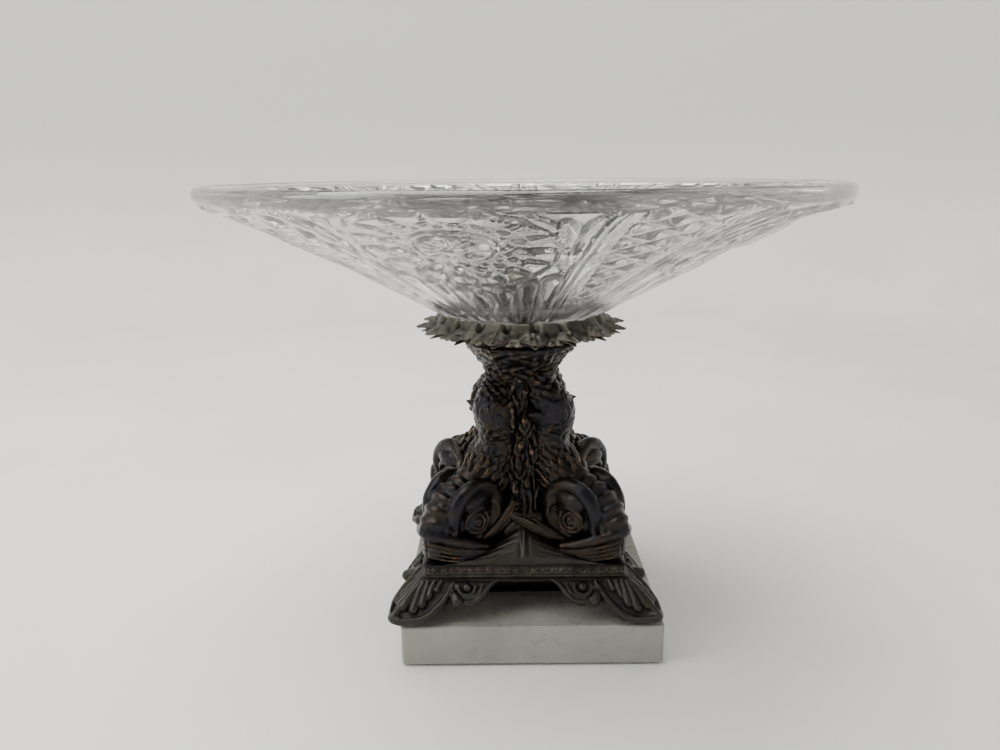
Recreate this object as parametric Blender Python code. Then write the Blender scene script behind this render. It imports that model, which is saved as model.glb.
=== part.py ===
"""Pressed-glass centrepiece bowl on a cast pedestal of four fish, on a square marble plinth.

Metres, +Z up, front towards -Y. The origin is the middle of the underside, on the resting plane.
A threaded tie rod runs up the axis and clamps every piece between a nut sunk in the plinth and
a knurled cap nut inside the bowl. Heights named *_AT are in millimetres above the top of the marble.
"""

import bmesh
import bpy
from math import cos, pi, radians, sin
from mathutils import Matrix, Vector

MM = 0.001
GAP = 0.3

BAIZE_SIDE = 106.0
BAIZE_THICK = 0.6
PLINTH_SIDE = 110.0
PLINTH_THICK = 17.5
PLINTH_SHIFT = 3.0
PLINTH_TOP = BAIZE_THICK + GAP + PLINTH_THICK

ROD_RADIUS = 4.0
ROD_BORE = 4.35
COUNTERBORE_RADIUS = 13.0
COUNTERBORE_DEPTH = 9.0

STAND_HALF = 43.0
TOE_HALF = 56.5
FRIEZE_BOTTOM_AT = 15.0
FRIEZE_TOP_AT = 22.0
PLATFORM_CROWN_AT = 24.5

COLUMN_TOP_AT = 92.7
FISH_SIDES = 16
CORE_RADIUS = 7.0
WEB_THICK = 2.4
REED_AT = 19.0
BUD_RADIUS = 3.2
CAPITAL_TOP_AT = 111.0
PETALS = 16
PETAL_THICK = 1.8
CUSP_RADIUS = 27.0
SEAT_TOP_AT = 121.4
GASKET_THICK = 1.0

BOWL_FOOT_AT = SEAT_TOP_AT + GASKET_THICK + 2 * GAP
BOWL_FOOT_RADIUS = 34.0
BOWL_RADIUS = 132.5
BOWL_RIM_AT = 178.6
BOWL_WALL_RISE = 6.4
BOWL_FLOOR_AT = 131.0
BOWL_HOLE = 5.0

WASHER_THICK = 1.8
CAP_NUT_RADIUS = 9.5
CAP_NUT_HEIGHT = 11.5
KNURLS = 24


def clear_scene():
    for obj in list(bpy.data.objects):
        bpy.data.objects.remove(obj, do_unlink=True)


def material(name, colour, roughness, metallic=0.0, transmission=0.0):
    made = bpy.data.materials.new(name)
    made.use_nodes = True
    shader = made.node_tree.nodes["Principled BSDF"]
    shader.inputs["Base Color"].default_value = (*colour, 1.0)
    shader.inputs["Roughness"].default_value = roughness
    shader.inputs["Metallic"].default_value = metallic
    shader.inputs["Transmission Weight"].default_value = transmission
    return made


def add_object(name, bm, finish, height=0.0, sharp=35.0):
    """An object from a bmesh in millimetres, its origin on the axis, height mm above the resting plane."""
    bmesh.ops.recalc_face_normals(bm, faces=bm.faces)
    bmesh.ops.scale(bm, vec=(MM, MM, MM), verts=bm.verts)
    mesh = bpy.data.meshes.new(name)
    bm.to_mesh(mesh)
    bm.free()
    mesh.shade_smooth()
    mesh.set_sharp_from_angle(angle=radians(sharp))
    obj = bpy.data.objects.new(name, mesh)
    bpy.context.scene.collection.objects.link(obj)
    if finish:
        mesh.materials.append(finish)
    obj.location.z = height * MM
    return obj


def helper(name, bm, height=0.0):
    """A cutter, or a shape that a Boolean joins to a part."""
    obj = add_object(name, bm, None, height)
    obj.hide_render = True
    obj.display_type = "WIRE"
    return obj


def boolean(obj, other, operation):
    modifier = obj.modifiers.new(f"{operation.lower()}_{other.name}", "BOOLEAN")
    modifier.operation = operation
    modifier.object = other
    modifier.solver = "EXACT"


def circle(radius, z, steps, centre=(0.0, 0.0)):
    turn = [2 * pi * i / steps for i in range(steps)]
    return [Vector((centre[0] + radius * cos(a), centre[1] + radius * sin(a), z)) for a in turn]


def rounded_square(half, corner, z, steps=4):
    """A square ring with round corners, counter-clockwise."""
    ring = []
    for quarter in range(4):
        middle = Matrix.Rotation(quarter * pi / 2, 3, "Z") @ Vector((half - corner, half - corner, 0))
        for i in range(steps + 1):
            turn = quarter * pi / 2 + (pi / 2) * i / steps
            ring.append(middle + Vector((corner * cos(turn), corner * sin(turn), z)))
    return ring


def loft(rings, cyclic=False):
    """A closed skin through rings of equally many points, capped at both ends or joined end to start."""
    bm = bmesh.new()
    rows = [[bm.verts.new(point) for point in ring] for ring in rings]
    pairs = list(zip(rows, rows[1:]))
    if cyclic:
        pairs.append((rows[-1], rows[0]))
    else:
        bm.faces.new(rows[0])
        bm.faces.new(reversed(rows[-1]))
    for low, high in pairs:
        for i in range(len(low)):
            j = (i + 1) % len(low)
            bm.faces.new((low[i], low[j], high[j], high[i]))
    return bm


def lathe(profile, steps=32):
    """A closed profile of (radius, height) spun round the axis."""
    bm = bmesh.new()
    verts = [bm.verts.new((radius, 0.0, z)) for radius, z in profile]
    edges = [bm.edges.new((verts[i], verts[(i + 1) % len(verts)])) for i in range(len(verts))]
    bmesh.ops.spin(
        bm, geom=verts + edges, cent=(0, 0, 0), axis=(0, 0, 1), angle=2 * pi, steps=steps, use_merge=True
    )
    bmesh.ops.remove_doubles(bm, verts=bm.verts, dist=1e-4)
    return bm


def disc(radius, bore, thick):
    return lathe([(bore, 0.0), (radius, 0.0), (radius, thick), (bore, thick)])


def cylinder(radius, low, high, steps=24, centre=(0.0, 0.0)):
    return loft([circle(radius, z, steps, centre) for z in (low, high)])


def prism(outline, low, high):
    """An outline of (x, z) points, pushed along Y from low to high."""
    return loft([[Vector((x, y, z)) for x, z in outline] for y in (low, high)])


def box(low, high):
    corners = ((0, 0), (1, 0), (1, 1), (0, 1))
    ends = (low, high)
    return loft([[Vector((ends[i][0], ends[j][1], z)) for i, j in corners] for z in (low[2], high[2])])


def make_plinth(marble, baize):
    """The marble and its baize lie a little to the right of the axis, so the left toes overhang it."""
    half = PLINTH_SIDE / 2
    sheet = loft([rounded_square(BAIZE_SIDE / 2, 2.0, z) for z in (0.0, BAIZE_THICK)])
    add_object("baize_sheet", sheet, baize).location.x = PLINTH_SHIFT * MM
    rings = [
        rounded_square(half - inset, 1.6, z)
        for inset, z in ((0.5, 0.0), (0.0, 0.5), (0.0, PLINTH_THICK - 0.5), (0.5, PLINTH_THICK))
    ]
    plinth = add_object("marble_plinth", loft(rings), marble, BAIZE_THICK + GAP)
    plinth.location.x = PLINTH_SHIFT * MM
    bore = lathe(
        [
            (0.0, -5.0),
            (COUNTERBORE_RADIUS, -5.0),
            (COUNTERBORE_RADIUS, COUNTERBORE_DEPTH),
            (ROD_BORE + 0.8, COUNTERBORE_DEPTH),
            (ROD_BORE + 0.8, PLINTH_THICK + 5.0),
            (0.0, PLINTH_THICK + 5.0),
        ]
    )
    boolean(plinth, helper("plinth_bore", bore, BAIZE_THICK + GAP), "DIFFERENCE")


def make_fastening(steel):
    """The tie rod, and the washer and hexagon nut sunk in the underside of the plinth."""
    washer_at = BAIZE_THICK + GAP + COUNTERBORE_DEPTH - GAP - WASHER_THICK
    add_object("bottom_washer", disc(11.0, ROD_BORE, WASHER_THICK), steel, washer_at)

    nut_height, across_flats = 5.6, 13.0
    nut_at = washer_at - GAP - nut_height
    flat_points = [
        Vector((across_flats / 2 / cos(pi / 6) * cos(a), across_flats / 2 / cos(pi / 6) * sin(a), 0))
        for a in (i * pi / 3 for i in range(6))
    ]
    sides = [flat_points[i].lerp(flat_points[(i + 1) % 6], k / 4) for i in range(6) for k in range(4)]
    outer = [[point + Vector((0, 0, z)) for point in sides] for z in (0.0, nut_height)]
    inner = [circle(ROD_BORE, z, 24) for z in (nut_height, 0.0)]
    add_object("bottom_nut", loft(outer + inner, cyclic=True), steel, nut_at)

    rod_bottom = nut_at - 0.9
    rod_top = PLINTH_TOP + BOWL_FLOOR_AT + 11.0
    length = rod_top - rod_bottom
    rings = [
        circle(ROD_RADIUS - inset, z, 24)
        for inset, z in ((0.8, 0.0), (0.0, 0.8), (0.0, length - 0.8), (0.8, length))
    ]
    add_object("tie_rod", loft(rings), steel, rod_bottom)


def make_stand(bronze):
    """The square platform with its frieze, on a flared skirt that four arches cut into corner feet."""
    frieze = (
        (STAND_HALF - 0.8, FRIEZE_BOTTOM_AT),
        (STAND_HALF + 0.5, FRIEZE_BOTTOM_AT + 0.4),
        (STAND_HALF + 0.5, FRIEZE_BOTTOM_AT + 1.4),
        (STAND_HALF - 0.6, FRIEZE_BOTTOM_AT + 2.0),
        (STAND_HALF - 0.6, FRIEZE_TOP_AT - 1.6),
        (STAND_HALF + 0.5, FRIEZE_TOP_AT - 1.0),
        (STAND_HALF + 0.5, FRIEZE_TOP_AT - 0.2),
        (STAND_HALF - 1.0, FRIEZE_TOP_AT + 0.3),
        (STAND_HALF - 17.0, PLATFORM_CROWN_AT),
    )
    slab = loft([rounded_square(half, 1.2, z) for half, z in frieze])
    stand = add_object("footed_stand", slab, bronze, PLINTH_TOP)

    outer = (
        (STAND_HALF - 1.0, 17.0),
        (STAND_HALF + 0.2, 14.5),
        (STAND_HALF + 1.4, 12.0),
        (TOE_HALF - 8.6, 8.2),
        (TOE_HALF - 4.2, 4.6),
        (TOE_HALF, 2.6),
        (TOE_HALF - 0.6, GAP),
    )
    inner = (
        (TOE_HALF - 6.0, GAP),
        (TOE_HALF - 9.4, 4.0),
        (STAND_HALF - 0.4, 8.0),
        (STAND_HALF - 3.6, 12.0),
        (STAND_HALF - 5.6, 17.0),
    )
    skirt = loft([rounded_square(half, 3.0, z) for half, z in outer + inner], cyclic=True)
    skirt_shape = helper("skirt", skirt, PLINTH_TOP)
    right = [
        (44.0, -5.0),
        (42.0, 1.2),
        (36.0, 3.6),
        (30.0, 5.2),
        (25.0, 5.0),
        (21.5, 7.6),
        (17.5, 11.6),
        (13.0, 14.4),
        (9.0, 20.0),
    ]
    outline = right + [(-x, z) for x, z in reversed(right)]
    for side in range(2):
        arch = helper(f"arch_{side}", prism(outline, -80.0, 80.0), PLINTH_TOP)
        arch.rotation_euler.z = side * pi / 2
        boolean(skirt_shape, arch, "DIFFERENCE")
    boolean(stand, skirt_shape, "UNION")
    boolean(stand, helper("stand_bore", cylinder(ROD_BORE, 5.0, 40.0), PLINTH_TOP), "DIFFERENCE")


def fish_body():
    """A fish standing on its chin towards +X, lofted from its nose up to its tail.

    Each station is its distance from the axis, its height, and half its width and half its depth.
    """
    stations = (
        (60.4, 31.0, 5.6, 5.6),
        (58.0, 31.6, 8.6, 7.8),
        (52.5, 34.0, 11.6, 10.6),
        (46.0, 37.4, 13.4, 12.4),
        (39.0, 40.6, 14.2, 12.8),
        (31.0, 45.0, 13.8, 12.6),
        (24.0, 51.5, 12.6, 11.8),
        (18.6, 59.5, 11.6, 10.6),
        (15.6, 68.0, 11.4, 9.8),
        (15.0, 77.0, 12.0, 10.4),
        (12.6, 85.5, 10.8, 8.6),
        (10.2, 93.5, 9.6, 6.4),
    )
    rings = []
    for i, (out, up, width, depth) in enumerate(stations):
        before, after = stations[max(i - 1, 0)], stations[min(i + 1, len(stations) - 1)]
        along = Vector((after[0] - before[0], 0, after[1] - before[1])).normalized()
        normal = along.cross(Vector((0, 1, 0)))
        turns = [2 * pi * k / FISH_SIDES for k in range(FISH_SIDES)]
        rings.append([Vector((out, width * cos(a), up)) + normal * depth * sin(a) for a in turns])
    return loft(rings)


def fish_details():
    """Eyes and a four-lobed crest, joined to the head; they stay apart from each other."""
    bm = bmesh.new()
    for side in (-1, 1):
        eye = Matrix.Translation((45.0, side * 12.4, 38.4)) @ Matrix.Diagonal((1.0, 0.7, 1.0, 1.0))
        bmesh.ops.create_uvsphere(bm, u_segments=8, v_segments=5, radius=4.2, matrix=eye)
    for out, up, radius in ((50.0, 46.6, 3.2), (44.0, 50.6, 3.6), (37.4, 54.0, 3.8), (30.4, 58.6, 3.6)):
        lobe = Matrix.Translation((out, 0.0, up)) @ Matrix.Diagonal((1.0, 0.62, 1.0, 1.0))
        bmesh.ops.create_uvsphere(bm, u_segments=8, v_segments=5, radius=radius, matrix=lobe)
    return bm


def core_clearance():
    """Room for the core's tube, and for the reeds on either side of the +X +Y quadrant."""
    bm = bmesh.new()
    for radius, centre in (
        (CORE_RADIUS, (0.0, 0.0)),
        (BUD_RADIUS, (REED_AT, 0.0)),
        (BUD_RADIUS, (0.0, REED_AT)),
    ):
        column = cylinder(radius + GAP, 10.0, 110.0, centre=centre)
        mesh = bpy.data.meshes.new("column")
        column.to_mesh(mesh)
        column.free()
        bm.from_mesh(mesh)
        bpy.data.meshes.remove(mesh)
    return bm


def make_fish(bronze):
    """Four castings, one to a quadrant, each cut to fit its neighbours, the core and its webs."""
    mouth_outline = [(64.0, 31.2), (64.0, 27.6), (50.0, 30.0), (50.0, 30.4)]
    names = ("fish_back_right", "fish_back_left", "fish_front_left", "fish_front_right")
    inside = WEB_THICK / 2 + GAP
    for quarter, name in enumerate(names):
        turn = quarter * pi / 2
        diagonal = Matrix.Rotation(turn + pi / 4, 4, "Z")
        quadrant = Matrix.Rotation(turn, 4, "Z")
        shapes = {}
        for part, bm, matrix in (
            ("body", fish_body(), diagonal),
            ("details", fish_details(), diagonal),
            ("mouth", prism(mouth_outline, -16.0, 16.0), diagonal),
            ("quadrant", box((inside, inside, 20.0), (80.0, 80.0, COLUMN_TOP_AT)), quadrant),
            ("core_bore", core_clearance(), quadrant),
        ):
            bmesh.ops.transform(bm, matrix=matrix, verts=bm.verts)
            shapes[part] = bm
        fish = add_object(name, shapes.pop("body"), bronze, PLINTH_TOP)
        operations = ("UNION", "DIFFERENCE", "INTERSECT", "DIFFERENCE")
        for (part, bm), operation in zip(shapes.items(), operations):
            boolean(fish, helper(f"{name}_{part}", bm, PLINTH_TOP), operation)


def make_reed_core(bronze):
    """The spacer tube on the axis, with a web of reeds standing between each two fish."""
    bottom, top = PLATFORM_CROWN_AT + GAP, COLUMN_TOP_AT
    tube = lathe([(ROD_BORE, bottom), (CORE_RADIUS, bottom), (CORE_RADIUS, top), (ROD_BORE, top)])
    core = add_object("reed_core", tube, bronze, PLINTH_TOP)
    reach = (
        (26.0, bottom),
        (24.5, 30.0),
        (19.0, 36.0),
        (19.5, 44.0),
        (18.0, 52.0),
        (17.5, 66.0),
        (18.5, 78.0),
        (13.0, 88.0),
    )
    outline = list(reach) + [(-x, z) for x, z in reversed(reach)]
    for side in range(2):
        web = helper(f"reed_web_{side}", prism(outline, -WEB_THICK / 2, WEB_THICK / 2), PLINTH_TOP)
        web.rotation_euler.z = side * pi / 2
        boolean(core, web, "UNION")
    for side in range(4):
        bm = bmesh.new()
        for z, length in ((40.0, 5.0), (54.0, 5.5), (70.0, 6.0)):
            stretch = Matrix.Diagonal((1.0, 1.0, length / BUD_RADIUS, 1.0))
            bud = Matrix.Translation((0, -REED_AT, z)) @ stretch
            bmesh.ops.create_uvsphere(bm, u_segments=6, v_segments=5, radius=BUD_RADIUS, matrix=bud)
        buds = helper(f"reed_buds_{side}", bm, PLINTH_TOP)
        buds.rotation_euler.z = side * pi / 2
        boolean(core, buds, "UNION")
    boolean(core, helper("reed_core_bore", cylinder(ROD_BORE, 10.0, 110.0), PLINTH_TOP), "DIFFERENCE")


def make_capital(bronze):
    """The flared neck above the column's waist, hollow under the petals."""
    profile = (
        (ROD_BORE, 0.0),
        (16.3, 0.0),
        (16.4, 2.5),
        (19.0, 7.0),
        (22.8, 12.0),
        (26.4, 15.8),
        (27.4, 17.2),
        (27.0, 18.0),
        (23.0, 18.0),
        (18.0, 12.0),
        (12.0, 7.0),
        (ROD_BORE, 6.0),
    )
    base_at = COLUMN_TOP_AT + GAP
    add_object("capital", lathe(profile, 32), bronze, PLINTH_TOP + base_at)


def petal_ring(centre_line, tip_depth, turned):
    """A pierced disc whose rim is drawn out into pointed leaves.

    centre_line gives (radius, height) from the bore to a leaf's tip; between leaves the rim falls short
    by tip_depth.
    """
    around = PETALS * 4
    tip = centre_line[-1][0]
    rings = []
    for lift in (0.0, PETAL_THICK):
        rows = []
        for reach, height in centre_line:
            share = max(0.0, (reach - CUSP_RADIUS) / (tip - CUSP_RADIUS))
            ring = []
            for i in range(around):
                turn = 2 * pi * (i + turned * 2) / around
                between = abs(sin(PETALS * turn / 2 + (pi / 2 if turned else 0.0)))
                radius = reach - tip_depth * share * between
                droop = 1.6 * share * between
                ring.append(Vector((radius * cos(turn), radius * sin(turn), height + lift - droop)))
            rows.append(ring)
        rings += rows if lift == 0.0 else rows[::-1]
    return loft(rings, cyclic=True)


def make_collar(brass):
    """Two rings of sixteen leaves, and the dished seat that carries the glass."""
    lower_at = CAPITAL_TOP_AT + GAP
    upper_at = lower_at + PETAL_THICK + GAP
    lower = ((ROD_BORE, 0.0), (26.0, 0.0), (37.0, 0.2), (45.0, -1.8))
    upper = ((ROD_BORE, 0.0), (24.0, 0.0), (32.5, 5.4), (38.5, 5.6), (46.5, 2.4))
    add_object("lower_petal_ring", petal_ring(lower, 9.0, 1), brass, PLINTH_TOP + lower_at)
    add_object("upper_petal_ring", petal_ring(upper, 9.0, 0), brass, PLINTH_TOP + upper_at)
    seat_at = upper_at + PETAL_THICK + GAP
    rise = SEAT_TOP_AT - seat_at
    lip = 28.4
    profile = ((ROD_BORE, 0.0), (20.0, 0.0), (23.0, 1.6), (lip, rise - 0.8), (lip, rise), (ROD_BORE, rise))
    add_object("seat_cup", lathe(profile), brass, PLINTH_TOP + seat_at)


def bowl_profile():
    """The bowl's section, from the hole in its foot round the outside to the floor inside."""
    outside = (
        (BOWL_FOOT_RADIUS - 0.6, BOWL_FOOT_AT),
        (BOWL_FOOT_RADIUS, BOWL_FOOT_AT + 0.8),
        (61.5, 139.0),
        (76.0, 147.2),
        (87.0, 153.2),
        (97.0, 158.0),
        (108.0, 163.6),
        (121.0, 169.0),
        (130.5, 172.2),
    )
    rim = (
        (BOWL_RADIUS - 0.2, 173.6),
        (BOWL_RADIUS, 176.0),
        (BOWL_RADIUS - 1.2, BOWL_RIM_AT - 0.6),
        (BOWL_RADIUS - 3.2, BOWL_RIM_AT),
        (BOWL_RADIUS - 5.0, BOWL_RIM_AT - 0.6),
    )
    inside = [(radius, z + BOWL_WALL_RISE) for radius, z in reversed(outside[2:8])]
    floor = [
        (44.0, BOWL_FLOOR_AT + 4.2),
        (33.0, BOWL_FLOOR_AT + 0.6),
        (26.0, BOWL_FLOOR_AT),
        (BOWL_HOLE, BOWL_FLOOR_AT),
    ]
    return [(BOWL_HOLE, BOWL_FOOT_AT), *outside, *rim, *inside, *floor]


def make_bowl(glass, rubber):
    gasket_at = PLINTH_TOP + SEAT_TOP_AT + GAP
    add_object("lower_gasket", disc(27.0, ROD_BORE, GASKET_THICK), rubber, gasket_at)
    add_object("glass_bowl", lathe(bowl_profile(), 56), glass, PLINTH_TOP)


def knurled(radius, depth, z):
    """A ring with a ridge for each knurl."""
    steps = 2 * KNURLS
    ring = circle(1.0, z, steps)
    for i, point in enumerate(ring):
        reach = radius - (depth if i % 2 else 0.0)
        point.x *= reach
        point.y *= reach
    return ring


def make_clamp(brass, rubber):
    """The packing ring, the clamp washer and the knurled cap nut that hold the bowl down."""
    packing_at = PLINTH_TOP + BOWL_FLOOR_AT + GAP
    washer_at = packing_at + GASKET_THICK + GAP
    nut_at = washer_at + WASHER_THICK + GAP
    add_object("upper_gasket", disc(12.0, ROD_BORE, GASKET_THICK), rubber, packing_at)
    add_object("clamp_washer", disc(13.0, ROD_BORE, WASHER_THICK), brass, washer_at)
    bore_depth = CAP_NUT_HEIGHT - 2.5
    rings = [
        circle(ROD_BORE, bore_depth, 2 * KNURLS),
        circle(ROD_BORE, 0.0, 2 * KNURLS),
        circle(CAP_NUT_RADIUS - 1.0, 0.0, 2 * KNURLS),
        knurled(CAP_NUT_RADIUS, 0.7, 1.0),
        knurled(CAP_NUT_RADIUS, 0.7, 6.6),
        circle(CAP_NUT_RADIUS - 1.4, 7.4, 2 * KNURLS),
        circle(CAP_NUT_RADIUS - 2.2, 9.4, 2 * KNURLS),
        circle(CAP_NUT_RADIUS - 4.6, 11.0, 2 * KNURLS),
        circle(1.5, CAP_NUT_HEIGHT, 2 * KNURLS),
    ]
    add_object("cap_nut", loft(rings), brass, nut_at)


def main():
    clear_scene()
    dark_bronze = material("dark_bronze", (0.052, 0.038, 0.028), 0.42, metallic=1.0)
    brown_bronze = material("brown_bronze", (0.16, 0.12, 0.08), 0.5, metallic=1.0)
    antique_brass = material("antique_brass", (0.30, 0.25, 0.16), 0.4, metallic=1.0)
    steel = material("steel", (0.55, 0.55, 0.56), 0.35, metallic=1.0)
    marble = material("marble", (0.80, 0.78, 0.74), 0.25)
    baize = material("baize", (0.03, 0.07, 0.04), 0.95)
    rubber = material("rubber", (0.08, 0.08, 0.08), 0.7)
    glass = material("glass", (0.95, 0.96, 0.96), 0.03, transmission=1.0)

    make_plinth(marble, baize)
    make_fastening(steel)
    make_stand(brown_bronze)
    make_fish(dark_bronze)
    make_reed_core(dark_bronze)
    make_capital(dark_bronze)
    make_collar(antique_brass)
    make_bowl(glass, rubber)
    make_clamp(antique_brass, rubber)


main()
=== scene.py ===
"""The looks of the centrepiece bowl: cast fish pedestal, leaf collar, pressed glass and marble plinth.

Shapes are worked out in millimetres, with heights above the top of the marble, and become metres when
they are made into objects. The cast pieces are sampled distance fields, joined shape by shape and skinned.
"""

import itertools
from math import cos, pi, radians, sin

import bpy
import numpy as np
from mathutils import Matrix, Vector


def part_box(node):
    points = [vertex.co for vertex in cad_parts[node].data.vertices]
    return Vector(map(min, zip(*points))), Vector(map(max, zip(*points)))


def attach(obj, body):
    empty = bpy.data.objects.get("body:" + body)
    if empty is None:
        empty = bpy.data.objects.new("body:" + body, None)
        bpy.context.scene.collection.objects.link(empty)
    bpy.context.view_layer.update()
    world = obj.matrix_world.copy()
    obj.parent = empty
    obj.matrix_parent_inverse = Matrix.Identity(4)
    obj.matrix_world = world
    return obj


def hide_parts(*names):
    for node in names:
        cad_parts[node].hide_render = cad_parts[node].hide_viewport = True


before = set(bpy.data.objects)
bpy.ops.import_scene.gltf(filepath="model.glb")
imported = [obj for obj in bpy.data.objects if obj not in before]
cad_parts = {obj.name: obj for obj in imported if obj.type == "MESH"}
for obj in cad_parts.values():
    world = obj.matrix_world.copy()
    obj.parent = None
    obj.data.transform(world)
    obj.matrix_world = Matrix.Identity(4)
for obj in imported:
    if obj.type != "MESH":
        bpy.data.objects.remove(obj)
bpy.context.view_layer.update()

MM = 0.001
COARSE = 1.0
MARBLE_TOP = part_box("marble_plinth")[1][2] / MM


def node_box(node):
    """A CAD node's lowest and highest corners, in millimetres above the marble."""
    low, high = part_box(node)
    return np.array(low) / MM - (0, 0, MARBLE_TOP), np.array(high) / MM - (0, 0, MARBLE_TOP)


# ---------------------------------------------------------------- numbers

def array(*points):
    return np.array(points, float)


def unit(v):
    v = np.asarray(v, float)
    return v / np.linalg.norm(v, axis=-1, keepdims=True)


def smoothstep(low, high, x):
    t = np.clip((x - low) / (high - low), 0.0, 1.0)
    return t * t * (3.0 - 2.0 * t)


def dome(x, width=1.0):
    """The height of a half circle at x, 1 in its middle and 0 from width outwards."""
    return np.sqrt(np.clip(1 - (x / width) ** 2, 0, 1))


def peak(x, width):
    """A straight-sided ridge, 1 at x = 0 and 0 from width outwards."""
    return np.clip(1 - np.abs(x) / width, 0, 1)


def bell(x, width):
    return np.exp(-((x / width) ** 2))


def spin(turn):
    """The rotation by a turn about the upright axis."""
    return array((cos(turn), -sin(turn), 0), (sin(turn), cos(turn), 0), (0, 0, 1))


def path_lengths(points):
    """The distance along a path to each of its points."""
    return np.concatenate([[0.0], np.cumsum(np.linalg.norm(np.diff(points, axis=0), axis=1))])


def spline(points, parts):
    """A smooth Catmull-Rom curve through rows of numbers, parts steps to each stretch."""
    keys = np.asarray(points, float)
    keys = np.vstack([2 * keys[0] - keys[1], keys, 2 * keys[-1] - keys[-2]])
    t = np.linspace(0.0, 1.0, parts, endpoint=False)[:, None]
    rows = []
    for p0, p1, p2, p3 in zip(keys, keys[1:], keys[2:], keys[3:]):
        bend = 2 * p0 - 5 * p1 + 4 * p2 - p3
        rows.append(0.5 * (2 * p1 + (p2 - p0) * t + bend * t**2 + (3 * p1 - p0 - 3 * p2 + p3) * t**3))
    return np.vstack([*rows, keys[-2][None]])


def lattice_noise(points, size, seed=0):
    """Smooth noise from -1 to 1 that depends on position only."""
    p = points / size
    base = np.floor(p).astype(np.int64)
    f = p - base
    f = f * f * (3 - 2 * f)
    total = np.zeros(p.shape[:-1])
    for corner in itertools.product((0, 1), repeat=3):
        c = base + corner
        mixed = c[..., 0] * 374761393 + c[..., 1] * 668265263 + c[..., 2] * 2147483647 + seed * 974634777
        mixed = (mixed ^ (mixed >> 13)) * 1274126177
        value = ((mixed ^ (mixed >> 16)) & 0xFFFF) / 32767.5 - 1.0
        weight = np.prod(np.where(corner, f, 1 - f), axis=-1)
        total += weight * value
    return total


# ---------------------------------------------------------------- distance fields

def smooth_min(a, b, blend):
    if blend <= 0:
        return np.minimum(a, b)
    h = np.clip(0.5 + 0.5 * (b - a) / blend, 0.0, 1.0)
    return b + (a - b) * h - blend * h * (1.0 - h)


class Shape:
    """A distance function and the box it is worth working out in."""

    def __init__(self, distance, low, high):
        self.distance = distance
        self.low = np.asarray(low, float)
        self.high = np.asarray(high, float)


def ball(centre, radii, turn=None):
    """An ellipsoid; turn is a 3x3 whose columns are its own axes."""
    centre = np.asarray(centre, float)
    radii = np.ones(3) * radii
    axes = np.eye(3) if turn is None else np.asarray(turn)

    def distance(p):
        q = (p - centre) @ axes
        k0 = np.linalg.norm(q / radii, axis=-1)
        k1 = np.linalg.norm(q / radii**2, axis=-1)
        return k0 * (k0 - 1.0) / np.maximum(k1, 1e-6)

    reach = np.ones(3) * radii.max() if turn is not None else radii
    return Shape(distance, centre - reach, centre + reach)


def ring(centre, normal, radius, thick):
    """A torus."""
    centre, normal = np.asarray(centre, float), unit(normal)

    def distance(p):
        q = p - centre
        up = q @ normal
        flat = np.linalg.norm(q - up[..., None] * normal, axis=-1)
        return np.hypot(flat - radius, up) - thick

    reach = radius + thick
    return Shape(distance, centre - reach, centre + reach)


def sweep(path, wide, deep, side=(0, 0, 1), relief=None, power=2.0, cap=None):
    """An oval section drawn along a path. side says which way wide is measured.

    relief(along, turn, share) adds height; along is the distance down the path, turn the angle round it.
    """
    path = np.asarray(path, float)
    count = len(path)
    wide, deep = (np.interp(np.linspace(0, 1, count), np.linspace(0, 1, np.size(size)), np.ravel(size))
                  for size in (wide, deep))
    side = np.broadcast_to(np.asarray(side, float), path.shape)
    start = path_lengths(path)

    def distance(p):
        best = np.full(p.shape[:-1], 1e9)
        where = np.zeros(p.shape[:-1])
        for i in range(count - 1):
            step = path[i + 1] - path[i]
            t = np.clip(((p - path[i]) @ step) / (step @ step), 0.0, 1.0)
            gap = np.linalg.norm(p - path[i] - t[..., None] * step, axis=-1)
            nearer = gap < best
            best = np.where(nearer, gap, best)
            where = np.where(nearer, i + t, where)
        i = np.minimum(where.astype(int), count - 2)
        t = (where - i)[..., None]
        centre = path[i] * (1 - t) + path[i + 1] * t
        tangents = unit(np.gradient(path, axis=0))
        along = unit(tangents[i] * (1 - t) + tangents[i + 1] * t)
        across = side[i] * (1 - t) + side[i + 1] * t
        across = unit(across - (across * along).sum(-1, keepdims=True) * along)
        up = np.cross(along, across)
        q = p - centre
        x, y, z = ((q * axis).sum(-1) for axis in (across, up, along))
        a = wide[i] * (1 - t[..., 0]) + wide[i + 1] * t[..., 0]
        b = deep[i] * (1 - t[..., 0]) + deep[i + 1] * t[..., 0]
        end = np.minimum(a, b) if cap is None else cap
        k = (np.abs(x / a) ** power + np.abs(y / b) ** power + np.abs(z / end) ** power) ** (1.0 / power)
        span = np.sqrt(x * x + y * y + z * z)
        d = span * (1.0 - 1.0 / np.maximum(k, 1e-3))
        d = np.where(k < 0.05, -np.minimum(a, b), d)
        if relief is not None:
            s = start[i] * (1 - t[..., 0]) + start[i + 1] * t[..., 0]
            d = d - relief(s, np.arctan2(y, x), where / (count - 1))
        return d

    reach = max(wide.max(), deep.max())
    return Shape(distance, path.min(0) - reach, path.max(0) + reach)


def tube(points, radii, parts=4):
    """A round rope along a smooth curve."""
    return sweep(spline(points, parts), radii, radii, side=(0.13, 0.37, 1.0))


def slab(low, high, rounding):
    """A box with rounded edges."""
    low, high = np.asarray(low, float), np.asarray(high, float)
    middle, half = (low + high) / 2, (high - low) / 2 - rounding

    def distance(p):
        q = np.abs(p - middle) - half
        outside = np.linalg.norm(np.maximum(q, 0.0), axis=-1)
        return outside + np.minimum(q.max(-1), 0.0) - rounding

    return Shape(distance, low, high)


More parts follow.
